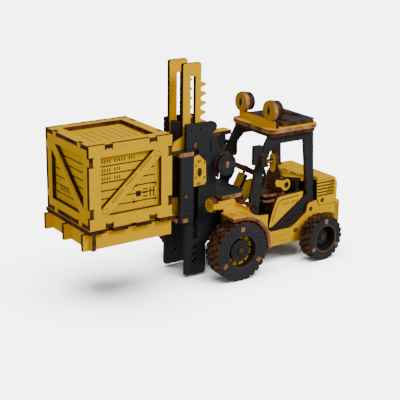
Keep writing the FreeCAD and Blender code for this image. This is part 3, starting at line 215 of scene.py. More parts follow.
SCORCH = plain("scorched_line", (0.006, 0.003, 0.002), (0.030, 0.012, 0.006))
PEG = plain("peg_end", (0.17, 0.070, 0.030), (0.45, 0.22, 0.10))
PEG_DARK = plain("peg_end_dark", (0.035, 0.012, 0.006), (0.15, 0.055, 0.022))
PALE = plain("pale_engraving", (0.042, 0.030, 0.023), (0.12, 0.083, 0.055))
RING = plain("ring_engraving", (0.12, 0.070, 0.035), (0.30, 0.19, 0.10))
FAINT = plain("faint_engraving", (0.30, 0.125, 0.004), (0.56, 0.27, 0.006))
LINE = plain("engraved_line", (0.050, 0.020, 0.003), (0.15, 0.062, 0.006))
TAN = plain("cut_edge_light", (0.30, 0.14, 0.05), (0.62, 0.33, 0.13))
VOID = plain("deep_shadow", (0.003, 0.003, 0.003), (0.009, 0.008, 0.008))

lamp_turn = math.radians(5.0)
lamp_axes = tuple((math.cos(lamp_turn * s), math.sin(lamp_turn * s), 0.0)
                  for s in (1.0, -1.0))
tilt = math.radians(28.0)
column_axis = (-math.sin(tilt), 0.0, math.cos(tilt))
trim_axis = (-0.469, 0.0, 0.883)

FINISH = {
    "armrest": ("yellow", (Y,), "brown"),
    "cab_frame_left": ("black", (Y,), "brown"),
    "cab_frame_right": ("black", (Y,), "brown"),
    "carriage_cheeks": ("black", (Y,), "dark"),
    "carriage_dowel": ("natural", (Y,), "brown"),
    "carriage_shelves": ("black", (Z,), "tan"),
    "counterweight": ("yellow", (X, Y, Z, (0.707, 0.707, 0), (0.707, -0.707, 0)), "tan"),
    "cowl_trims": ("yellow", (trim_axis,), "brown"),
    "crate_base": ("yellow", (Z,), "brown"),
    "crate_front_panel": ("yellow", (X,), "brown"),
    "crate_rear_panel": ("yellow", (X,), "brown"),
    "crate_left_panel": ("yellow", (Y,), "brown"),
    "crate_right_panel": ("yellow", (Y,), "brown"),
    "crate_lid": ("yellow", (Z,), "brown"),
    "cross_walls": ("black", (X,), "dark"),
    "door_panels": ("yellow", (Y,), "brown"),
    "engine_cover": ("yellow", (Z, X, Y, (0.707, 0, 0.707), (-0.707, 0, 0.707)), "brown"),
    "engine_sides": ("yellow", (Y,), "dark"),
    "floor_plate": ("black", (Z,), "dark"),
    "front_axle": ("natural", (Y,), "brown"),
    "headlights": ("yellow", lamp_axes + (Y,), "brown"),
    "hood_top": ("black", (Z,), "tan"),
    "lamp_bar": ("yellow", (X,), "brown"),
    "lift_pinion": ("black", (Y,), "brown"),
    "mast_cross_beam": ("black", (X,), "brown"),
    "mast_plate_left": ("black", (Y,), "dark"),
    "mast_plate_right": ("black", (Y,), "dark"),
    "mast_top_brace": ("yellow", (Z,), "brown"),
    "mirror_brackets": ("black", (Y,), "brown"),
    "mirror_left": ("yellow", (X,), "brown"),
    "mirror_right": ("yellow", (X,), "brown"),
    "pallet_deck": ("yellow", (Z,), "brown"),
    "pallet_runners": ("yellow", (Y,), "brown"),
    "rail_left": ("yellow", (Y,), "dark"),
    "rail_right": ("yellow", (Y,), "dark"),
    "rear_axle_beam": ("natural", (Z,), "brown"),
    "rear_knuckle_left": ("black", (Z,), "brown"),
    "rear_knuckle_right": ("black", (Z,), "brown"),
    "roof_brim": ("yellow", (Z,), "tan"),
    "roof_lining": ("natural", (Z,), "brown"),
    "roof_panel": ("black", (Z,), "brown"),
    "side_frame_left": ("yellow", (Y,), "brown"),
    "side_frame_right": ("yellow", (Y,), "brown"),
    "slider_plates": ("yellow", (Y,), "brown"),
    "steering_column": ("yellow", (column_axis, (column_axis[2], 0, -column_axis[0])), "brown"),
    "steering_wheel": ("natural", (column_axis,), "brown"),
}


def dress(node, material):
    for place in node.material_slots:
        place.link = "OBJECT"
        place.material = material


def soften(thing, width, degrees):
    """Break the edges sharper than the angle.  The width is in millimetres."""
    edge = thing.modifiers.new("SoftEdges", "BEVEL")
    edge.width = width * MM
    edge.segments = 1
    edge.limit_method = "ANGLE"
    edge.angle_limit = math.radians(degrees)


for label, (paint, axes, edge) in FINISH.items():
    dress(nodes[label], plywood(paint, axes, edge))
    soften(nodes[label], 0.16, 50)

# ---------------------------------------------------------------- mesh helpers


def spot(plane, u, v, w):
    return {"XY": (u, v, w), "XZ": (u, w, v), "YZ": (w, u, v)}[plane]


def arc(cx, cy, radius, start, end, steps):
    angles = [math.radians(start + (end - start) * i / steps) for i in range(steps + 1)]
    return [(cx + radius * math.cos(a), cy + radius * math.sin(a)) for a in angles]


def circle(cx, cy, radius, count=40):
    return arc(cx, cy, radius, 0, 360, count)[:-1]


def oval(cx, cy, half_u, half_v, count=24):
    return [(cx + (u - cx) * half_u, cy + (v - cy) * half_v) for u, v in circle(cx, cy, 1.0, count)]


def rect(u0, v0, u1, v1):
    return [(u0, v0), (u1, v0), (u1, v1), (u0, v1)]


def between(near, far, out):
    """Two levels in rising order, mirrored where out is -1."""
    return sorted((near * out, far * out))


class Maker:
    """Collects solids into one piece.  A piece with a hub is drawn about that point."""

    def __init__(self, name, body, slot, materials, hub=None, turn=0.0):
        self.name = name
        self.body = body
        self.slot = slot
        self.materials = materials
        self.hub = hub
        self.turn = turn
        self.verts = []
        self.faces = []
        self.paint = []

    def _add(self, corners, faces, material):
        base = len(self.verts)
        self.verts += corners
        for face in faces:
            self.faces.append([base + i for i in face])
            self.paint.append(material)

    def prism(self, plane, outline, low, high, material=0):
        count = len(outline)
        corners = [spot(plane, u, v, low) for u, v in outline]
        corners += [spot(plane, u, v, high) for u, v in outline]
        sides = [[i, (i + 1) % count, count + (i + 1) % count, count + i] for i in range(count)]
        caps = [list(range(count))[::-1], list(range(count, 2 * count))]
        self._add(corners, caps + sides, material)

    def band(self, plane, outer, inner, low, high, material=0, closed=True):
        """A strip between two lines with the same number of points."""
        count = len(outer)
        corners = []
        for level in (low, high):
            corners += [spot(plane, u, v, level) for u, v in outer]
            corners += [spot(plane, u, v, level) for u, v in inner]
        faces = []
        for i in range(count if closed else count - 1):
            j = (i + 1) % count
            faces += [
                [j, i, count + i, count + j],
                [2 * count + i, 2 * count + j, 3 * count + j, 3 * count + i],
                [i, j, 2 * count + j, 2 * count + i],
                [count + j, count + i, 3 * count + i, 3 * count + j],
            ]
        if not closed:
            last = count - 1
            faces += [[count, 0, 2 * count, 3 * count],
                      [last, count + last, 3 * count + last, 2 * count + last]]
        self._add(corners, faces, material)

    def line(self, plane, points, width, low, high, material=0):
        """An engraved or raised line along a path."""
        left = []
        right = []
        for i, (u, v) in enumerate(points):
            before = points[max(i - 1, 0)]
            after = points[min(i + 1, len(points) - 1)]
            run = (after[0] - before[0], after[1] - before[1])
            size = math.hypot(*run) or 1.0
            side = (-run[1] / size * width / 2, run[0] / size * width / 2)
            left.append((u + side[0], v + side[1]))
            right.append((u - side[0], v - side[1]))
        self.band(plane, left, right, low, high, material, closed=False)

    def box(self, x0, y0, z0, x1, y1, z1, material=0):
        self.prism("XY", rect(x0, y0, x1, y1), z0, z1, material)

    def build(self, bevel=0.0, replaces=()):
        mesh = bpy.data.meshes.new(self.name)
        origin = Vector(self.hub or (0.0, 0.0, 0.0))
        offset = Vector((0.0 if self.hub else SHIFT, 0.0, 0.0))
        mesh.from_pydata([(Vector(v) + offset) * MM for v in self.verts], [], self.faces)
        for material in self.materials:
            mesh.materials.append(material)
        for face, index in zip(mesh.polygons, self.paint):
            face.material_index = index
        shape = bmesh.new()
        shape.from_mesh(mesh)
        bmesh.ops.recalc_face_normals(shape, faces=shape.faces)
        shape.to_mesh(mesh)
        shape.free()
        piece = bpy.data.objects.new(self.name, mesh)
        bpy.context.scene.collection.objects.link(piece)
        if self.hub:
            piece.location = (origin + Vector((SHIFT, 0.0, 0.0))) * MM
            piece.rotation_euler = (0.0, 0.0, self.turn)
        if bevel:
            soften(piece, bevel, 35)
        bpy.context.view_layer.update()
        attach(piece, self.body)
        if replaces:
            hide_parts(*replaces)
        return piece


def inlay_levels(face, outward, deep=0.3, proud=0.04):
    """Low and high level of a thin inlay set into a face that looks outward."""
    return sorted((face - deep * outward, face + proud * outward))


# ---------------------------------------------------------------- tyres and wheels

tyre_black = plywood("black", (Y,), "tread")
bore_black = plain("bore_black", (0.006, 0.005, 0.004), (0.020, 0.013, 0.009))
rim_yellow = plywood("yellow", (Y,), "brown")
rim_black = plywood("black", (Y,), "dark")


LUG = ((-0.34, 0.25), (-0.22, 0.0), (0.22, 0.0), (0.34, 0.25), (0.43, 1.0), (0.57, 1.0))


def lugged(radius, depth, count, phase):
    """The wavy outline of one tyre layer."""
    outline = []
    for number in range(count):
        for part, drop in LUG:
            angle = 2 * math.pi * (number + phase + part) / count
            size = radius - depth * drop
            outline.append((size * math.cos(angle), size * math.sin(angle)))
    return outline


def same_angles(outline, radius):
    return [(radius * u / math.hypot(u, v), radius * v / math.hypot(u, v)) for u, v in outline]


def tyre(label, body, hub, turn, out, radius, bore, half, layers, lugs, tab_at, node):
    """A stack of lugged sheets.  out is +1 where the outer face looks to +Y."""
    piece = Maker(label + "_layers", body, "black_ply", [tyre_black, bore_black], hub, turn)
    step = 2 * half / layers
    for number in range(layers):
        low = -half + step * number
        outline = lugged(radius, 1.25, lugs, 0.37 * number)
        piece.band("XZ", outline, same_angles(outline, bore), low + 0.05, low + step - 0.05)
    piece.band("XZ", circle(0, 0, radius - 2.0, 60), circle(0, 0, bore + 0.2, 60),
               -half + 0.6, half - 0.6)
    piece.band("XZ", circle(0, 0, bore + 0.3, 60), circle(0, 0, bore - 0.03, 60),
               -half + 0.5, half - 0.35, 1)
    piece.build(bevel=0.12, replaces=(node,))

    marks = Maker(label + "_marks", body, "black_ply", [PALE, PEG, SCORCH, RING], hub, turn)
    low, high = inlay_levels((half - 0.06) * out, out)
    for number in range(3):
        angle = math.radians(90 + 120 * number)
        across = Vector((-math.sin(angle), math.cos(angle)))
        outward = Vector((math.cos(angle), math.sin(angle)))

        def patch(size_r, size_t):
            return [tuple(outward * (tab_at + a * size_r) + across * (b * size_t))
                    for a, b in ((-1, -1), (1, -1), (1, 1), (-1, 1))]

        marks.prism("XZ", patch(2.15, 2.0), low, high, 2)
        marks.prism("XZ", patch(1.75, 1.6), *between(half - 0.4, half, out), 1)
    ring_r = bore + 1.1
    if lugs > 24:
        marks.band("XZ", circle(0, 0, ring_r + 0.46, 64), circle(0, 0, ring_r + 0.14, 64),
                   low, high, 0)
        for number in range(26):
            start = 360.0 * number / 26
            path = []
            for k in range(7):
                r = bore + 3.0 + (radius - bore - 4.4) * k / 6
                a = math.radians(start + 16.0 * (k / 6) ** 1.4)
                path.append((r * math.cos(a), r * math.sin(a)))
            marks.line("XZ", path, 0.30, low, high, 0)
    else:
        marks.band("XZ", circle(0, 0, ring_r + 0.18, 64), circle(0, 0, ring_r - 0.18, 64),
                   low, high, 3)
        marks.band("XZ", circle(0, 0, bore + 0.35, 64), circle(0, 0, bore + 0.02, 64),
                   low, high, 2)
    marks.build()


front_x = -51.4
front_z = front_radius = 21.0
front_bore = 11.1
front_half = 7.0
front_face = 38.5
rear_x = -124.5
rear_z = rear_radius = 16.2
rear_bore = 8.8
rear_half = 5.6
rear_face = 38.0
kingpin_y = 21.0
for out, side in SIDES:
    body = "front_wheel_" + side
    hub = (front_x, (front_face - front_half) * out, front_z)
    tyre("front_tyre_" + side, body, hub, 0.0, out, front_radius, front_bore, front_half,
         5, 26, 16.0, "front_tyre_" + side)
    rim = Maker("front_rim_discs_" + side, body, "yellow_ply",
                [rim_yellow, rim_black, SCORCH, PEG_DARK], hub)
    low, high = between(-4.0, -1.6, out)
    rim.band("XZ", circle(0, 0, 11.05), circle(0, 0, 2.1), low, high, 1)
    low, high = between(-1.7, 1.6, out)
    for number in range(12):
        start = 30.0 * number + 3.2
        end = start + 23.6
        rim.band("XZ", arc(0, 0, 11.05, start, end, 6), arc(0, 0, 6.4, start, end, 6),
                 low, high, 0, closed=False)
    low, high = between(1.5, 4.4, out)
    outline = lugged(7.8, 0.35, 18, 0.0)
    rim.band("XZ", outline, same_angles(outline, 2.1), low, high, 1)
    low, high = inlay_levels(4.4 * out, out)
    for number in range(8):
        angle = math.radians(45 * number + 10)
        ends = [(r * math.cos(angle), r * math.sin(angle)) for r in (4.6, 6.0)]
        rim.line("XZ", ends, 0.55, low, high, 2)
    turns = [math.radians(60 + 90 * k) for k in range(4)]
    square = [(2.6 * math.cos(a), 2.6 * math.sin(a)) for a in turns]
    wide = [(u * 1.28, v * 1.28) for u, v in square]
    rim.prism("XZ", wide, low, high, 2)
    low, high = between(4.2, 5.7, out)
    rim.prism("XZ", square, low, high, 3)
    rim.build(bevel=0.1, replaces=("front_rim_" + side,))

steer = math.radians(4.0)
for out, side in SIDES:
    body = "rear_wheel_" + side
    # The wheel's middle, measured out from its kingpin along the steered stub.
    reach = rear_face - kingpin_y - rear_half
    hub = (rear_x - reach * math.sin(steer) * out,
           (kingpin_y + reach * math.cos(steer)) * out, rear_z)
    tyre("rear_tyre_" + side, body, hub, steer, out, rear_radius, rear_bore, rear_half,
         4, 22, 12.8, "rear_tyre_" + side)
    rim = Maker("rear_rim_discs_" + side, body, "black_ply", [rim_black, VOID], hub, steer)
    low, high = between(-3.5, -0.1, out)
    rim.band("XZ", circle(0, 0, 8.75), circle(0, 0, 2.1), low, high, 1)
    low, high = between(-0.2, 1.5, out)
    outline = lugged(5.6, 1.1, 14, 0.0)
    rim.band("XZ", outline, same_angles(outline, 2.15), low, high, 0)
    low, high = between(1.4, 1.9, out)
    rim.band("XZ", circle(0, 0, 3.0, 24), circle(0, 0, 2.12, 24), low, high, 0)
    rim.build(bevel=0.1, replaces=("rear_rim_" + side,))

# ---------------------------------------------------------------- lift knob

# The shaft stands off the rack's tooth tips by the addendum less the pitch radius.
knob_x = MAST_FRONT - 18.4 + RACK_PITCH / math.pi - RACK_PITCH * PINION_TEETH / (2 * math.pi)
knob_z = 78.9
knob = Maker("lift_knob_discs", "lift_drive", "black_ply",
             [rim_black, plywood("natural", (Y,), "brown"), VOID, PEG, SCORCH],
             (knob_x, 0.0, knob_z))
knob.prism("XZ", circle(0, 0, 4.2), 15.2, 17.0, 0)
knob.prism("XZ", circle(0, 0, 7.1, 56), 17.0, 19.6, 1)
knob.prism("XZ", circle(0, 0, 7.5, 56), 19.7, 22.5, 0)
for number in range(4):
    start, end = 21 + 90 * number, 69 + 90 * number
    knob.band("XZ", arc(0, 0, 6.1, start, end, 10), arc(0, 0, 5.1, start, end, 10),
              22.2, 22.54, 2, closed=False)
knob.prism("XZ", rect(-1.9, -2.9, 1.9, 2.9), 22.2, 22.55, 4)
knob.prism("XZ", rect(-1.3, -2.3, 1.3, 2.3), 22.3, 22.95, 3)
knob.build(bevel=0.12, replaces=("lift_knob",))

# ---------------------------------------------------------------- crate planks

low_corner, high_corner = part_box("crate_planks")
x0, y0, z0 = low_corner[0] / MM - SHIFT, low_corner[1] / MM, low_corner[2] / MM
x1, y1, z1 = high_corner[0] / MM - SHIFT, high_corner[1] / MM, high_corner[2] / MM
planks = Maker("crate_plank_boards", "crate", "yellow_ply",
               [plywood("yellow", (X, Y, Z), "brown"), VOID])
planks.box(x0 + 0.35, y0 + 0.35, z0 + 0.3, x1 - 0.35, y1 - 0.35, z1 - 0.5, 1)
rows = [z0 + 0.2] + [61.7 + 5.27 * k for k in range(7)] + [z1 - 0.2]
for low, high in zip(rows, rows[1:]):
    low += SEAM
    high -= SEAM
    planks.box(x0 + 8.6, y0 + 0.05, low, x1 - 0.3, y0 + 1.4, high)
    planks.box(x0 + 8.6, y1 - 1.4, low, x1 - 0.3, y1 - 0.05, high)
    planks.box(x0 + 0.05, y0 + 0.3, low, x0 + 1.4, y1 - 0.3, high)
    planks.box(x1 - 1.4, y0 + 0.3, low, x1 - 0.05, y1 - 0.3, high)
for end in (y0 + 0.05, y1 - 1.4):
    planks.box(x0 + 1.4, end, rows[0], x0 + 8.6, end + 1.35, rows[-1])
planks.box(x0 + 0.2, y0 + 0.2, z1 - 1.4, x1 - 0.2, y1 - 0.2, z1 - 0.05)
for number in range(9):
    u = x0 + 6.2 + 5.3 * number
    planks.box(u - 0.3, -13.5, z1 - 0.3, u + 0.3, 19.5, z1 - 0.01, 1)
planks.build(bevel=0.1, replaces=("crate_planks",))

# ---------------------------------------------------------------- crate marks

marks = Maker("crate_marks", "crate", "yellow_ply", [SCORCH, LINE])


def joint_gaps(plane, middles, wall):
    """The burnt gaps beside each tab along the panel's upper and lower edges."""
    for middle in middles:
        for z, rise in ((105.2, -1.0), (56.8, 1.0)):
            for end in BOTH:
                u = middle - 2.55 * end
                marks.prism(plane, rect(u - 0.38, z - 2.75 * rise, u + 0.38, z + 0.7 * rise), *wall)


for out in BOTH:
    wall = inlay_levels(CRATE_HALF * out, out)
    joint_gaps("XZ", (14.0, 46.0), wall)
    for z in (64.5, 97.5):
        for v in (z - 2.9, z + 2.9):
            for low, high in ((0.0, 3.3), (56.7, CRATE_LONG)):
                marks.prism("XZ", rect(low, v - 0.38, high, v + 0.38), *wall)
    # Corner plates of the brace, each with four pin heads.
    for x, z in ((11.0, 97.0), (49.2, 65.2)):
        corners = rect(x - 1.9, z - 1.9, x + 1.9, z + 1.9)
        marks.line("XZ", corners + corners[:1], 0.26, *wall, 1)
        for u, v in ((-1, -1), (1, -1), (1, 1), (-1, 1)):
            marks.prism("XZ", circle(x + 1.05 * u, z + 1.05 * v, 0.26, 8), *wall, 0)
    # Ruled ticks along the brace.
    for number in range(30):
        if number in (9, 10, 19, 20):
            continue
        x = 43.8 - 0.95 * number
        z = 70.4 + 0.86 * number
        marks.line("XZ", [(x - 0.75, z - 0.8), (x + 0.75, z + 0.8)], 0.42, *wall, 1)
    # Ruled strokes, and a row of plain bars between corner marks, on the planks.
    board = inlay_levels(PLANK_FACE * out, out, 0.2)
    for row, count in ((96.2, 15), (90.6, 9), (85.2, 9)):
        for number in range(count):
            if number % 6 == 5:
                continue
            x = 51.0 - 1.75 * number
            marks.line("XZ", [(x, row - 1.1), (x, row + 1.1)], 0.7, *board, 0)
    for u, v in ((27.0, 66.6), (10.6, 66.6), (10.6, 77.0), (27.0, 77.0)):
        hand = -1.0 if u > 20.0 else 1.0
        rise = 1.0 if v < 70.0 else -1.0
        marks.line("XZ", [(u + 2.6 * hand, v), (u, v), (u, v + 2.4 * rise)], 0.5, *board, 0)
        marks.prism("XZ", circle(u, v, 0.75, 8), *board, 0)
    marks.prism("XZ", rect(21.6, 70.0, 25.2, 73.6), *board, 0)
    for z in (69.4, 71.8, 74.2):
        marks.line("XZ", [(20.0, z), (16.8, z)], 0.8, *board, 0)
    for x in (14.6, 12.2):
        marks.line("XZ", [(x, 68.6), (x, 75.0)], 0.8, *board, 0)
for face, out in ((CRATE_LONG, 1.0), (0.0, -1.0)):
    wall = inlay_levels(face, out)
    joint_gaps("YZ", (-16.5, 16.5), wall)
    board = inlay_levels(face - 2.86 * out, out, 0.2)
    for number in range(14):
        y = -15.0 + 1.1 * number
        marks.line("YZ", [(y, 69.0), (y, 72.2 if number % 3 else 70.8)], 0.5, *board, 0)
    for v, z in ((-17.0, 66.8), (1.6, 66.8), (1.6, 75.0), (-17.0, 75.0)):
        marks.prism("YZ", circle(v, z, 0.6, 8), *board, 0)
    for number in range(24):
        y = 13.8 - 1.02 * number
        z = 70.6 + 0.93 * number
        if z < 92.0:
            marks.line("YZ", [(y - 0.7, z - 0.7), (y + 0.7, z + 0.7)], 0.4, *wall, 1)
# Edge joints on the lid, where the side walls' tabs come through.
lid = inlay_levels(CRATE_TOP, 1.0)
for x in (1.4, 58.6):
    for y in (-16.5, 16.5):
        marks.box(x - 1.4, y - 2.6, lid[0], x + 1.4, y - 2.2, lid[1], 0)
        marks.box(x - 1.4, y + 2.2, lid[0], x + 1.4, y + 2.6, lid[1], 0)
marks.build()

deck_marks = Maker("pallet_marks", "pallet", "yellow_ply",
                   [SCORCH, plywood("natural", (Z,), "brown"), plywood("yellow", (X,), "brown")])
for out in BOTH:
    wall = inlay_levels(PALLET_HALF * out, out, 0.2)
    for x in (3.0, 13.0, 21.0, 31.0, 39.0, 49.0, 57.0):
        deck_marks.prism("XZ", rect(x - 0.3, 51.2, x + 0.3, 53.8), *wall)
# The cross board's painted faces and its burnt ends.
for face, ahead in ((59.0, 1.0), (56.2, -1.0)):
    level = inlay_levels(face, ahead, 0.2)
    for low_y, high_y in ((-29.6, -27.1), (-24.1, -1.5), (1.5, 24.1), (27.1, 29.6)):
        deck_marks.prism("YZ", rect(low_y, CROSS_LOW, high_y, CROSS_HIGH), *level, 2)
for out in BOTH:
    level = inlay_levels(29.7 * out, out, 0.2)
    deck_marks.prism("XZ", rect(56.25, CROSS_LOW, 58.95, CROSS_HIGH), *level, 1)
deck_marks.build()

# ---------------------------------------------------------------- mast and carriage details

mast_marks = Maker("mast_pegs", "chassis", "black_ply", [SCORCH, PEG])
carriage_marks = Maker("carriage_marks", "carriage", "yellow_ply", [SCORCH, PEG_DARK, VOID, LINE])
for out in BOTH:
    wall = inlay_levels(MAST_FACE * out, out)
    mast_marks.prism("XZ", oval(-28.0, 93.4, 1.75, 3.3), *wall, 0)
    mast_marks.prism("XZ", oval(-28.0, 93.5, 1.05, 2.2), *between(14.2, 14.4, out), 1)
    wall = inlay_levels(SLIDER_FACE * out, out)
    carriage_marks.prism("XZ", oval(-29.4, 75.6, 1.7, 2.9), *wall, 0)
    carriage_marks.prism("XZ", oval(-29.4, 75.6, 1.25, 2.3), *between(17.8, 18.0, out), 1)
    for z, rise in ((82.4, 1.0), (68.6, -1.0)):
        for step in range(3):
            x = -27.6 - 1.1 * step
            path = [(x - 0.55, z), (x + 0.1, z + 0.8 * rise), (x - 0.55, z + 1.6 * rise)]
            carriage_marks.line("XZ", path, 0.24, *wall, 3)
    for x, z in ((-26.4, 79.6), (-33.2, 80.6), (-26.4, 71.2), (-33.2, 70.4)):
        carriage_marks.line("XZ", [(x, z), (x - 0.2, z + 1.8)], 0.34, *wall, 0)
    wall = inlay_levels(CHEEK_FACE * out, out)
    carriage_marks.band("XZ", circle(-18.8, 60.0, 2.0), circle(-18.8, 60.0, 1.25), *wall, 0)
    for z in (46.0, 50.0, 54.0):
        carriage_marks.line("XZ", [(-17.4, z), (-22.6, z)], 0.24, *wall, 2)
mast_marks.build()
carriage_marks.build()

# Painted shade: dark strips that stand just off the outer faces of the rails, where the rails sit
# in shade inside the mast.
rail_shade_strips = Maker("carriage_rail_shade_strips", "carriage", "black_ply",
               [plywood("black", (Y,), "brown"), PEG_DARK, VOID])
for out in BOTH:
    low, high = between(9.75, 10.35, out)
    rail_shade_strips.box(-20.6, low, 58.2, -12.8, high, 87.0, 0)
    rail_shade_strips.box(-33.4, low, 40.4, -25.6, high, 72.0, 0)
    low, high = between(10.2, 10.45, out)
    for x in (-17.6, -14.9):
        rail_shade_strips.box(x, low, 58.8, x + 0.5, high, 81.0, 1)
        rail_shade_strips.box(x + 0.5, low, 59.4, x + 1.5, high, 80.0, 2)
rail_shade_strips.build(bevel=0.06)

# ---------------------------------------------------------------- chassis sides

side_marks = Maker("side_marks", "chassis", "yellow_ply",
                   [SCORCH, PEG, PEG_DARK, LINE, FAINT, VOID])
for out in BOTH:
    wall = inlay_levels(FRAME_FACE * out, out)
    raised = between(22.6, 22.95, out)
    side_marks.prism("XZ", oval(-110.0, 20.9, 1.9, 1.75), *wall, 0)
    side_marks.prism("XZ", oval(-110.0, 20.9, 1.15, 1.0), *raised, 1)
    for x, z in ((-123.4, 34.7), (-133.9, 39.5)):
        side_marks.prism("XZ", oval(x, z, 1.55, 1.7), *wall, 0)
        side_marks.prism("XZ", oval(x, z, 0.8, 0.95), *raised, 2)
    # Scribed lines of the sill, the door and its frame.
    plate_edge = [(-89.6, 15.4), (-89.6, 19.6), (-104.4, 19.6), (-104.4, 15.4), (-89.6, 15.4)]
    side_marks.line("XZ", plate_edge, 0.30, *wall, 4)
    for x in (-91.4, -93.6, -96.4):
        side_marks.line("XZ", [(x, 16.6), (x, 18.4), (x - 1.2, 18.4)], 0.22, *wall, 4)
    door_edge = [(-88.3, 31.4), (-90.0, 36.4), (-92.2, 41.6), (-94.0, 44.9), (-95.4, 45.9),
                 (-111.4, 47.0)]
    side_marks.line("XZ", door_edge, 0.62, *wall, 0)
    for number in range(9):
        if number == 4:
            continue
        x = -97.6 - 1.5 * number
        side_marks.line("XZ", [(x, 41.8), (x - 0.4, 44.0), (x - 1.1, 43.7)], 0.40, *wall, 3)
    # Burnt rims of the sheets that meet in one plane.
    side_marks.line("XZ", [(-129.0, 40.9), (-131.1, 35.9), (-144.6, 35.9)], 0.34, *wall, 0)
    side_marks.line("XZ", [(-127.8, 54.9), (-140.0, 54.9), (-142.8, 53.4), (-144.8, 50.8)],
                    0.30, *wall, 0)
    # The rows of wide lines below are painted shade in the deep_shadow colour.
    for number in range(5):
        z = 43.25 + 2.4 * number
        side_marks.line("XZ", [(-144.6, z), (-129.0 + 0.2 * number, z + 0.1)], 0.95, *wall, 5)
        if number < 4:
            side_marks.line("XZ", [(-144.8, z + 1.35), (-137.5 - 0.8 * number, z + 1.2)],
                            0.5, *wall, 5)
    # Painted shade: a patch in the deep_shadow colour on the frame's inner face under the front
    # axle.
    side_marks.prism("XZ", rect(-56.0, 10.6, -47.0, 18.7), *inlay_levels(20.0 * out, -out), 5)
    # A scribed line where the bonnet's side meets the mudguard.
    side_marks.line("XZ", [(-47.0, 50.6), (-54.6, 50.6)], 0.22, *wall, 4)
side_marks.build()

# Kerf cuts let the counterweight and the engine cover bend round their corners.
kerfs = Maker("bend_kerfs", "chassis", "yellow_ply", [SCORCH, LINE])
for out in BOTH:
    # The rounded corner's centre lies one bend radius in from both faces.
    centre = (-148.5, 18.3 * out)
    for angle in (8, 26, 44, 62, 80):
        a = math.radians(180 - angle)
        u, v = math.cos(a), math.sin(a) * out
        edge = [(centre[0] + r * u - s * v * 0.16, centre[1] + r * v + s * u * 0.16)
                for r, s in ((4.2, -1.6), (4.52, -1.6), (4.52, 1.6), (4.2, 1.6))]
        kerfs.prism("XY", edge, 15.3, 35.7, 0)
    wall = inlay_levels(FRAME_FACE * out, out)
    for x in (-146.9, -148.1):
        kerfs.line("XZ", [(x, 15.6), (x, 35.4)], 0.40, *wall, 0)
for number in range(9):
    z = 37.6 + 1.5 * number
    kerfs.prism("YZ", rect(-20.5, z, 20.5, z + 0.28), -147.54, -147.2, 0)
cover_top = inlay_levels(ENGINE_TOP, 1.0)
for y in (4.6, -4.6):
    kerfs.box(-121.4, y - 3.2, cover_top[0], -119.6, y + 3.2, cover_top[1], 0)
for y in (-17.5, -6.0, 6.0, 17.5):
    kerfs.prism("YZ", rect(y - 0.15, 17.0, y + 0.15, 34.0), -153.02, -152.7, 1)
kerfs.build()

# ---------------------------------------------------------------- mudguards

guard_out = 24.9
guard_mid = 24.2
guard_in = 22.1
guard_edge = 38.0
guard_steps = 32
yellow_sheet = plain("guard_yellow", (0.74, 0.375, 0.0), (0.84, 0.450, 0.0), 300.0, 0.7)
rust_sheet = plywood("natural", (X,), "rust")


def hoop(radius):
    """The bend's arc, from above the axle to a little below its height behind the wheel."""
    end = 180.0 + math.degrees(math.asin(2.0 / radius)) + 0.4
    return arc(front_x, front_z, radius, 90.6, end, guard_steps)


for out, side in SIDES:
    low, high = between(22.85, guard_edge, out)
    guard = Maker("fender_%s_sheet" % side, "chassis", "yellow_ply",
                  [yellow_sheet, rust_sheet, SCORCH, TAN])
    guard.band("XZ", hoop(guard_out), hoop(guard_mid), low, high, 0, closed=False)
    guard.band("XZ", hoop(guard_mid), hoop(guard_in), low, high, 1, closed=False)
    flat_x0, flat_x1 = front_x - 0.28, front_x + 7.6
    guard.box(flat_x0, low, front_z + guard_mid, flat_x1, high, front_z + guard_out, 0)
    guard.box(flat_x0, low, front_z + guard_in, flat_x1, high, front_z + guard_mid, 1)
    for number in range(17):
        a = math.radians(99.0 + 5.0 * number)
        u, v = math.cos(a), math.sin(a)
        tick = [(front_x + r * u - s * v * 0.24, front_z + r * v + s * u * 0.24)
                for r, s in ((23.6, -1), (24.93, -1), (24.93, 1), (23.6, 1))]
        guard.prism("XZ", tick, *between(23.4, 38.04, out), 2)
    # The lighter rim of the bend between the kerfs.
    for number in range(18):
        start = 95.2 + 5.0 * number
        guard.band("XZ", arc(front_x, front_z, 24.88, start, start + 3.0, 3),
                   arc(front_x, front_z, 23.7, start, start + 3.0, 3),
                   *between(37.7, 38.03, out), 3, closed=False)
    near, far = between(27.0, 34.4, out)
    for number in range(4):
        x = -45.4 - 1.5 * number
        guard.box(x - 0.28, near, front_z + guard_out - 0.2,
                  x + 0.28, far, front_z + guard_out + 0.03, 2)
    guard.build(bevel=0.1, replaces=("fender_" + side,))

# ---------------------------------------------------------------- headlights

headlight = (-35.8, 23.6, 53.0)
for out, side in SIDES:
    hub = (headlight[0], headlight[1] * out, headlight[2])
    lamp = Maker("headlight_marks_" + side, "chassis", "yellow_ply", [LINE, FAINT],
                 hub, lamp_turn * out)
    face = inlay_levels(2.2, 1.0)
    lamp.band("YZ", circle(0, 0, 2.75, 28), circle(0, 0, 2.35, 28), *face, 0)
    lamp.band("YZ", circle(0, 0, 1.45, 20), circle(0, 0, 1.0, 20), *face, 0)
    lamp.line("YZ", [(-3.6, -0.6), (-2.7, -0.6)], 0.25, *face, 1)
    lamp.line("YZ", [(2.7, 0.6), (3.6, 0.6)], 0.25, *face, 1)
    lamp.build()

# ---------------------------------------------------------------- roof lamps and roof

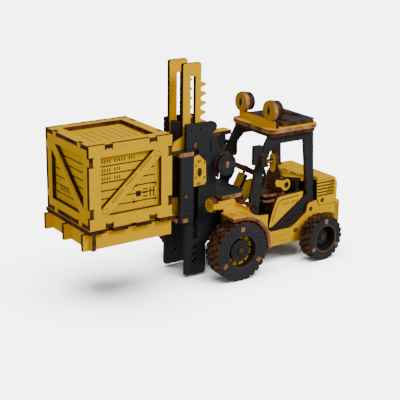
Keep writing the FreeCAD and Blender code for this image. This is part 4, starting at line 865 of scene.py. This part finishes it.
bar_x = -92.5
lamp_offset = 16.2
lamp_height = 110.0
lamp_edge = plywood("yellow", (X,), "tan")
dark_disc = plywood("black", (X,), "dark")
mid_disc = plywood("natural", (X,), "brown")
for out, side in SIDES:
    lamp = Maker("roof_lamp_" + side, "chassis", "yellow_ply",
                 [lamp_edge, mid_disc, dark_disc, SCORCH])
    y, z = lamp_offset * out, lamp_height
    lamp.prism("YZ", circle(y, z, 7.0, 48), -88.6, -86.9, 0)
    lamp.prism("YZ", circle(y, z, 7.4, 48), -89.7, -88.5, 0)
    lamp.prism("YZ", circle(y, z, 2.6, 24), bar_x - 0.2, -89.6, 1)
    lamp.prism("YZ", circle(y, z, 4.0, 32), -93.0, bar_x, 3)
    lamp.prism("YZ", circle(y, z, 6.4, 48), -95.3, -93.0, 2)
    lamp.build(bevel=0.22, replaces=("roof_lamps",) if out > 0 else ())
    rings = Maker("roof_lamp_rings_" + side, "chassis", "yellow_ply", [LINE, SCORCH, PEG_DARK])
    face = inlay_levels(-86.9, 1.0, 0.3)
    for radius in (6.2, 4.9, 3.7):
        rings.band("YZ", circle(y, z, radius + 0.22, 40), circle(y, z, radius - 0.22, 40), *face, 0)
    rings.prism("YZ", oval(y, z, 1.9, 3.1), *face, 1)
    rings.prism("YZ", oval(y, z, 1.45, 2.6), -87.2, -86.82, 2)
    rings.prism("YZ", oval(y, z, 0.8, 1.9), -87.2, -86.79, 1)
    rings.build()

roof = Maker("roof_marks", "chassis", "black_ply", [SCORCH, PEG_DARK, PALE])
top = inlay_levels(ROOF_TOP, 1.0)
for x, y, half_x, half_y in ((-123.0, 6.0, 1.4, 4.2), (-109.0, 17.6, 3.4, 1.2),
                             (-123.0, -10.0, 1.4, 4.2), (-109.0, -17.6, 3.4, 1.2)):
    roof.box(x - half_x - 0.3, y - half_y - 0.3, top[0],
             x + half_x + 0.3, y + half_y + 0.3, top[1], 0)
    roof.box(x - half_x, y - half_y, top[0], x + half_x, y + half_y, top[1] + 0.06, 1)
hood = inlay_levels(HOOD_TOP, 1.0)
for radius in (9.0, 12.5):
    roof.line("XY", arc(-46.0, 0.0, radius, 108, 252, 20), 0.3, *hood, 2)
for y in (20.4, -20.4):
    roof.line("XY", [(-60.6, y), (-47.0, y)], 0.3, *hood, 2)
roof.build()

# ---------------------------------------------------------------- driver's place

seat_board = plywood("seat", (Z,), "tan")
seat_slat = plywood("seat", (X,), "rust")
seat = Maker("seat_boards", "chassis", "natural_ply", [seat_board, seat_slat, VOID, dark_disc])
seat.box(-106.6, -6.8, 29.6, -94.4, 6.8, 40.2, 3)
for rear, side_front, front, half, half_front, low, high in (
        (-109.4, -95.0, -91.8, 9.3, 7.4, 44.4, 46.3),
        (-108.6, -94.6, -92.2, 9.0, 7.0, 40.2, 42.0)):
    seat.prism("XY", [(rear, -half), (side_front, -half), (front, -half_front),
                      (front, half_front), (side_front, half), (rear, half)], low, high, 0)
seat.box(-108.0, -8.4, 41.9, -93.6, 8.4, 44.5, 2)
for number in range(9):
    z = 46.6 + 1.82 * number
    lean = 0.22 * number
    half = 8.4 if number < 7 else 8.4 - 1.3 * (number - 6)
    seat.prism("XY", [(-107.0 - lean, -half), (-105.0 - lean, -half), (-104.5 - lean, 0.0),
                      (-105.0 - lean, half), (-107.0 - lean, half)], z, z + 1.42, 1)
seat.box(-108.6, -6.6, 46.3, -106.9, 6.6, 60.6, 1)
seat.build(bevel=0.14, replaces=("driver_seat",))

lever = Maker("lever_eye", "chassis", "yellow_ply", [SCORCH])
face = inlay_levels(14.0, 1.0)
lever.band("XZ", oval(-107.2, 53.1, 1.95, 2.5), oval(-107.2, 53.1, 1.2, 1.8), *face, 0)
lever.prism("XZ", oval(-107.2, 53.1, 1.3, 1.9), 11.4, 13.2, 0)
lever.build()

cab = Maker("cab_grab_handles", "chassis", "black_ply", [plywood("black", (Y,), "brown")])
handle = [(-80.6, 72.4), (-82.9, 68.4), (-84.0, 64.0), (-83.6, 59.0), (-81.6, 55.2), (-78.6, 53.2)]
for out in BOTH:
    cab.line("XZ", handle, 1.5, *between(17.4, 19.8, out), 0)
cab.build(bevel=0.14)

for out, side in SIDES:
    strip = Maker("mirror_board_" + side, "mirror_" + side, "natural_ply", [TAN, PEG_DARK])
    low, high = between(22.5, 25.95, out)
    strip.box(-86.0, low, 76.5, -80.4, high, 77.3, 0)
    face = inlay_levels(-85.6, 1.0)
    strip.line("YZ", [(22.2 * out, 79.8), (26.0 * out, 79.8)], 0.2, *face, 1)
    strip.build(bevel=0.05)

wheel_marks = Maker("steering_hub_cap", "steering_wheel", "natural_ply", [PEG, SCORCH])
wheel_centre = Vector((-80.5, 65.6))
along = Vector((-math.sin(tilt), math.cos(tilt)))
aside = Vector((math.cos(tilt), math.sin(tilt)))
wheel_front = wheel_centre + along * 1.5
for reach, half, index in ((0.55, 2.1, 1), (0.95, 1.2, 0)):
    quad = [tuple(wheel_front + aside * (a * half) + along * (b * reach))
            for a, b in ((-1, 0), (1, 0), (1, 1), (-1, 1))]
    wheel_marks.prism("XZ", quad, -half, half, index)
wheel_marks.build()

# ---------------------------------------------------------------- floor, light, camera

FLOOR_HALF = 40.0
floor_mesh = bpy.data.meshes.new("studio_floor")
corners = [(u, v, 0.0) for u, v in rect(-FLOOR_HALF, -FLOOR_HALF, FLOOR_HALF, FLOOR_HALF)]
floor_mesh.from_pydata(corners, [], [(0, 1, 2, 3)])
floor = bpy.data.objects.new("studio_floor", floor_mesh)
bpy.context.scene.collection.objects.link(floor)
floor_graph = Graph("studio_paper", 0.1)
paper = floor_graph.noise(6.0, 2.0)
floor_graph.colour(floor_graph.ramp(paper, [(0.3, (0.86, 0.86, 0.86)), (0.7, (0.90, 0.90, 0.90))]))
floor_graph.shader.inputs["Roughness"].default_value = 0.9
floor_mesh.materials.append(floor_graph.material)

world = bpy.data.worlds.new("studio")
bpy.context.scene.world = world
world.use_nodes = True
background = world.node_tree.nodes["Background"]
background.inputs["Color"].default_value = (1.0, 1.0, 1.0, 1.0)
background.inputs["Strength"].default_value = 0.42


def softbox(name, place, size, power):
    """A square lamp aimed at the middle of the truck."""
    lamp = bpy.data.lights.new(name, "AREA")
    lamp.energy = power
    lamp.size = size
    holder = bpy.data.objects.new(name, lamp)
    holder.location = place
    aim = Vector((0.0, 0.0, 0.06)) - Vector(place)
    holder.rotation_euler = aim.to_track_quat("-Z", "Y").to_euler()
    bpy.context.scene.collection.objects.link(holder)


softbox("key_light", (-0.35, 0.75, 0.85), 0.5, 10.5)
softbox("fill_light", (0.9, 0.5, 0.5), 0.9, 1.8)
# A sun that lights the floor alone, so that the paper stays near white.
sun_light = bpy.data.lights.new("floor_light", "SUN")
sun_light.energy = 19.0
sun_light.angle = math.radians(64.0)
sun = bpy.data.objects.new("floor_light", sun_light)
bpy.context.scene.collection.objects.link(sun)
lit_floor = bpy.data.collections.new("lit_floor")
lit_floor.objects.link(floor)
sun.light_linking.receiver_collection = lit_floor
floor.visible_diffuse = False
floor.visible_glossy = False

CAMERA_DISTANCE = 0.74259
turn = math.radians(145.527)
rise = math.radians(17.992)
roll = math.radians(0.846)
back = Vector((math.sin(turn) * math.cos(rise), -math.cos(turn) * math.cos(rise), math.sin(rise)))
right = Vector((math.cos(turn), math.sin(turn), 0.0))
above = back.cross(right)
right_rolled = right * math.cos(roll) + above * math.sin(roll)
above_rolled = above * math.cos(roll) - right * math.sin(roll)
target = Vector((-42.12 + SHIFT, 0.0, 48.96)) * MM
camera_data = bpy.data.cameras.new("camera")
camera_data.lens = 96.49
camera_data.sensor_width = 36.0
camera = bpy.data.objects.new("camera", camera_data)
axes = Matrix((right_rolled, above_rolled, back)).transposed()
camera.matrix_world = Matrix.Translation(target + back * CAMERA_DISTANCE) @ axes.to_4x4()
bpy.context.scene.collection.objects.link(camera)
bpy.context.scene.camera = camera
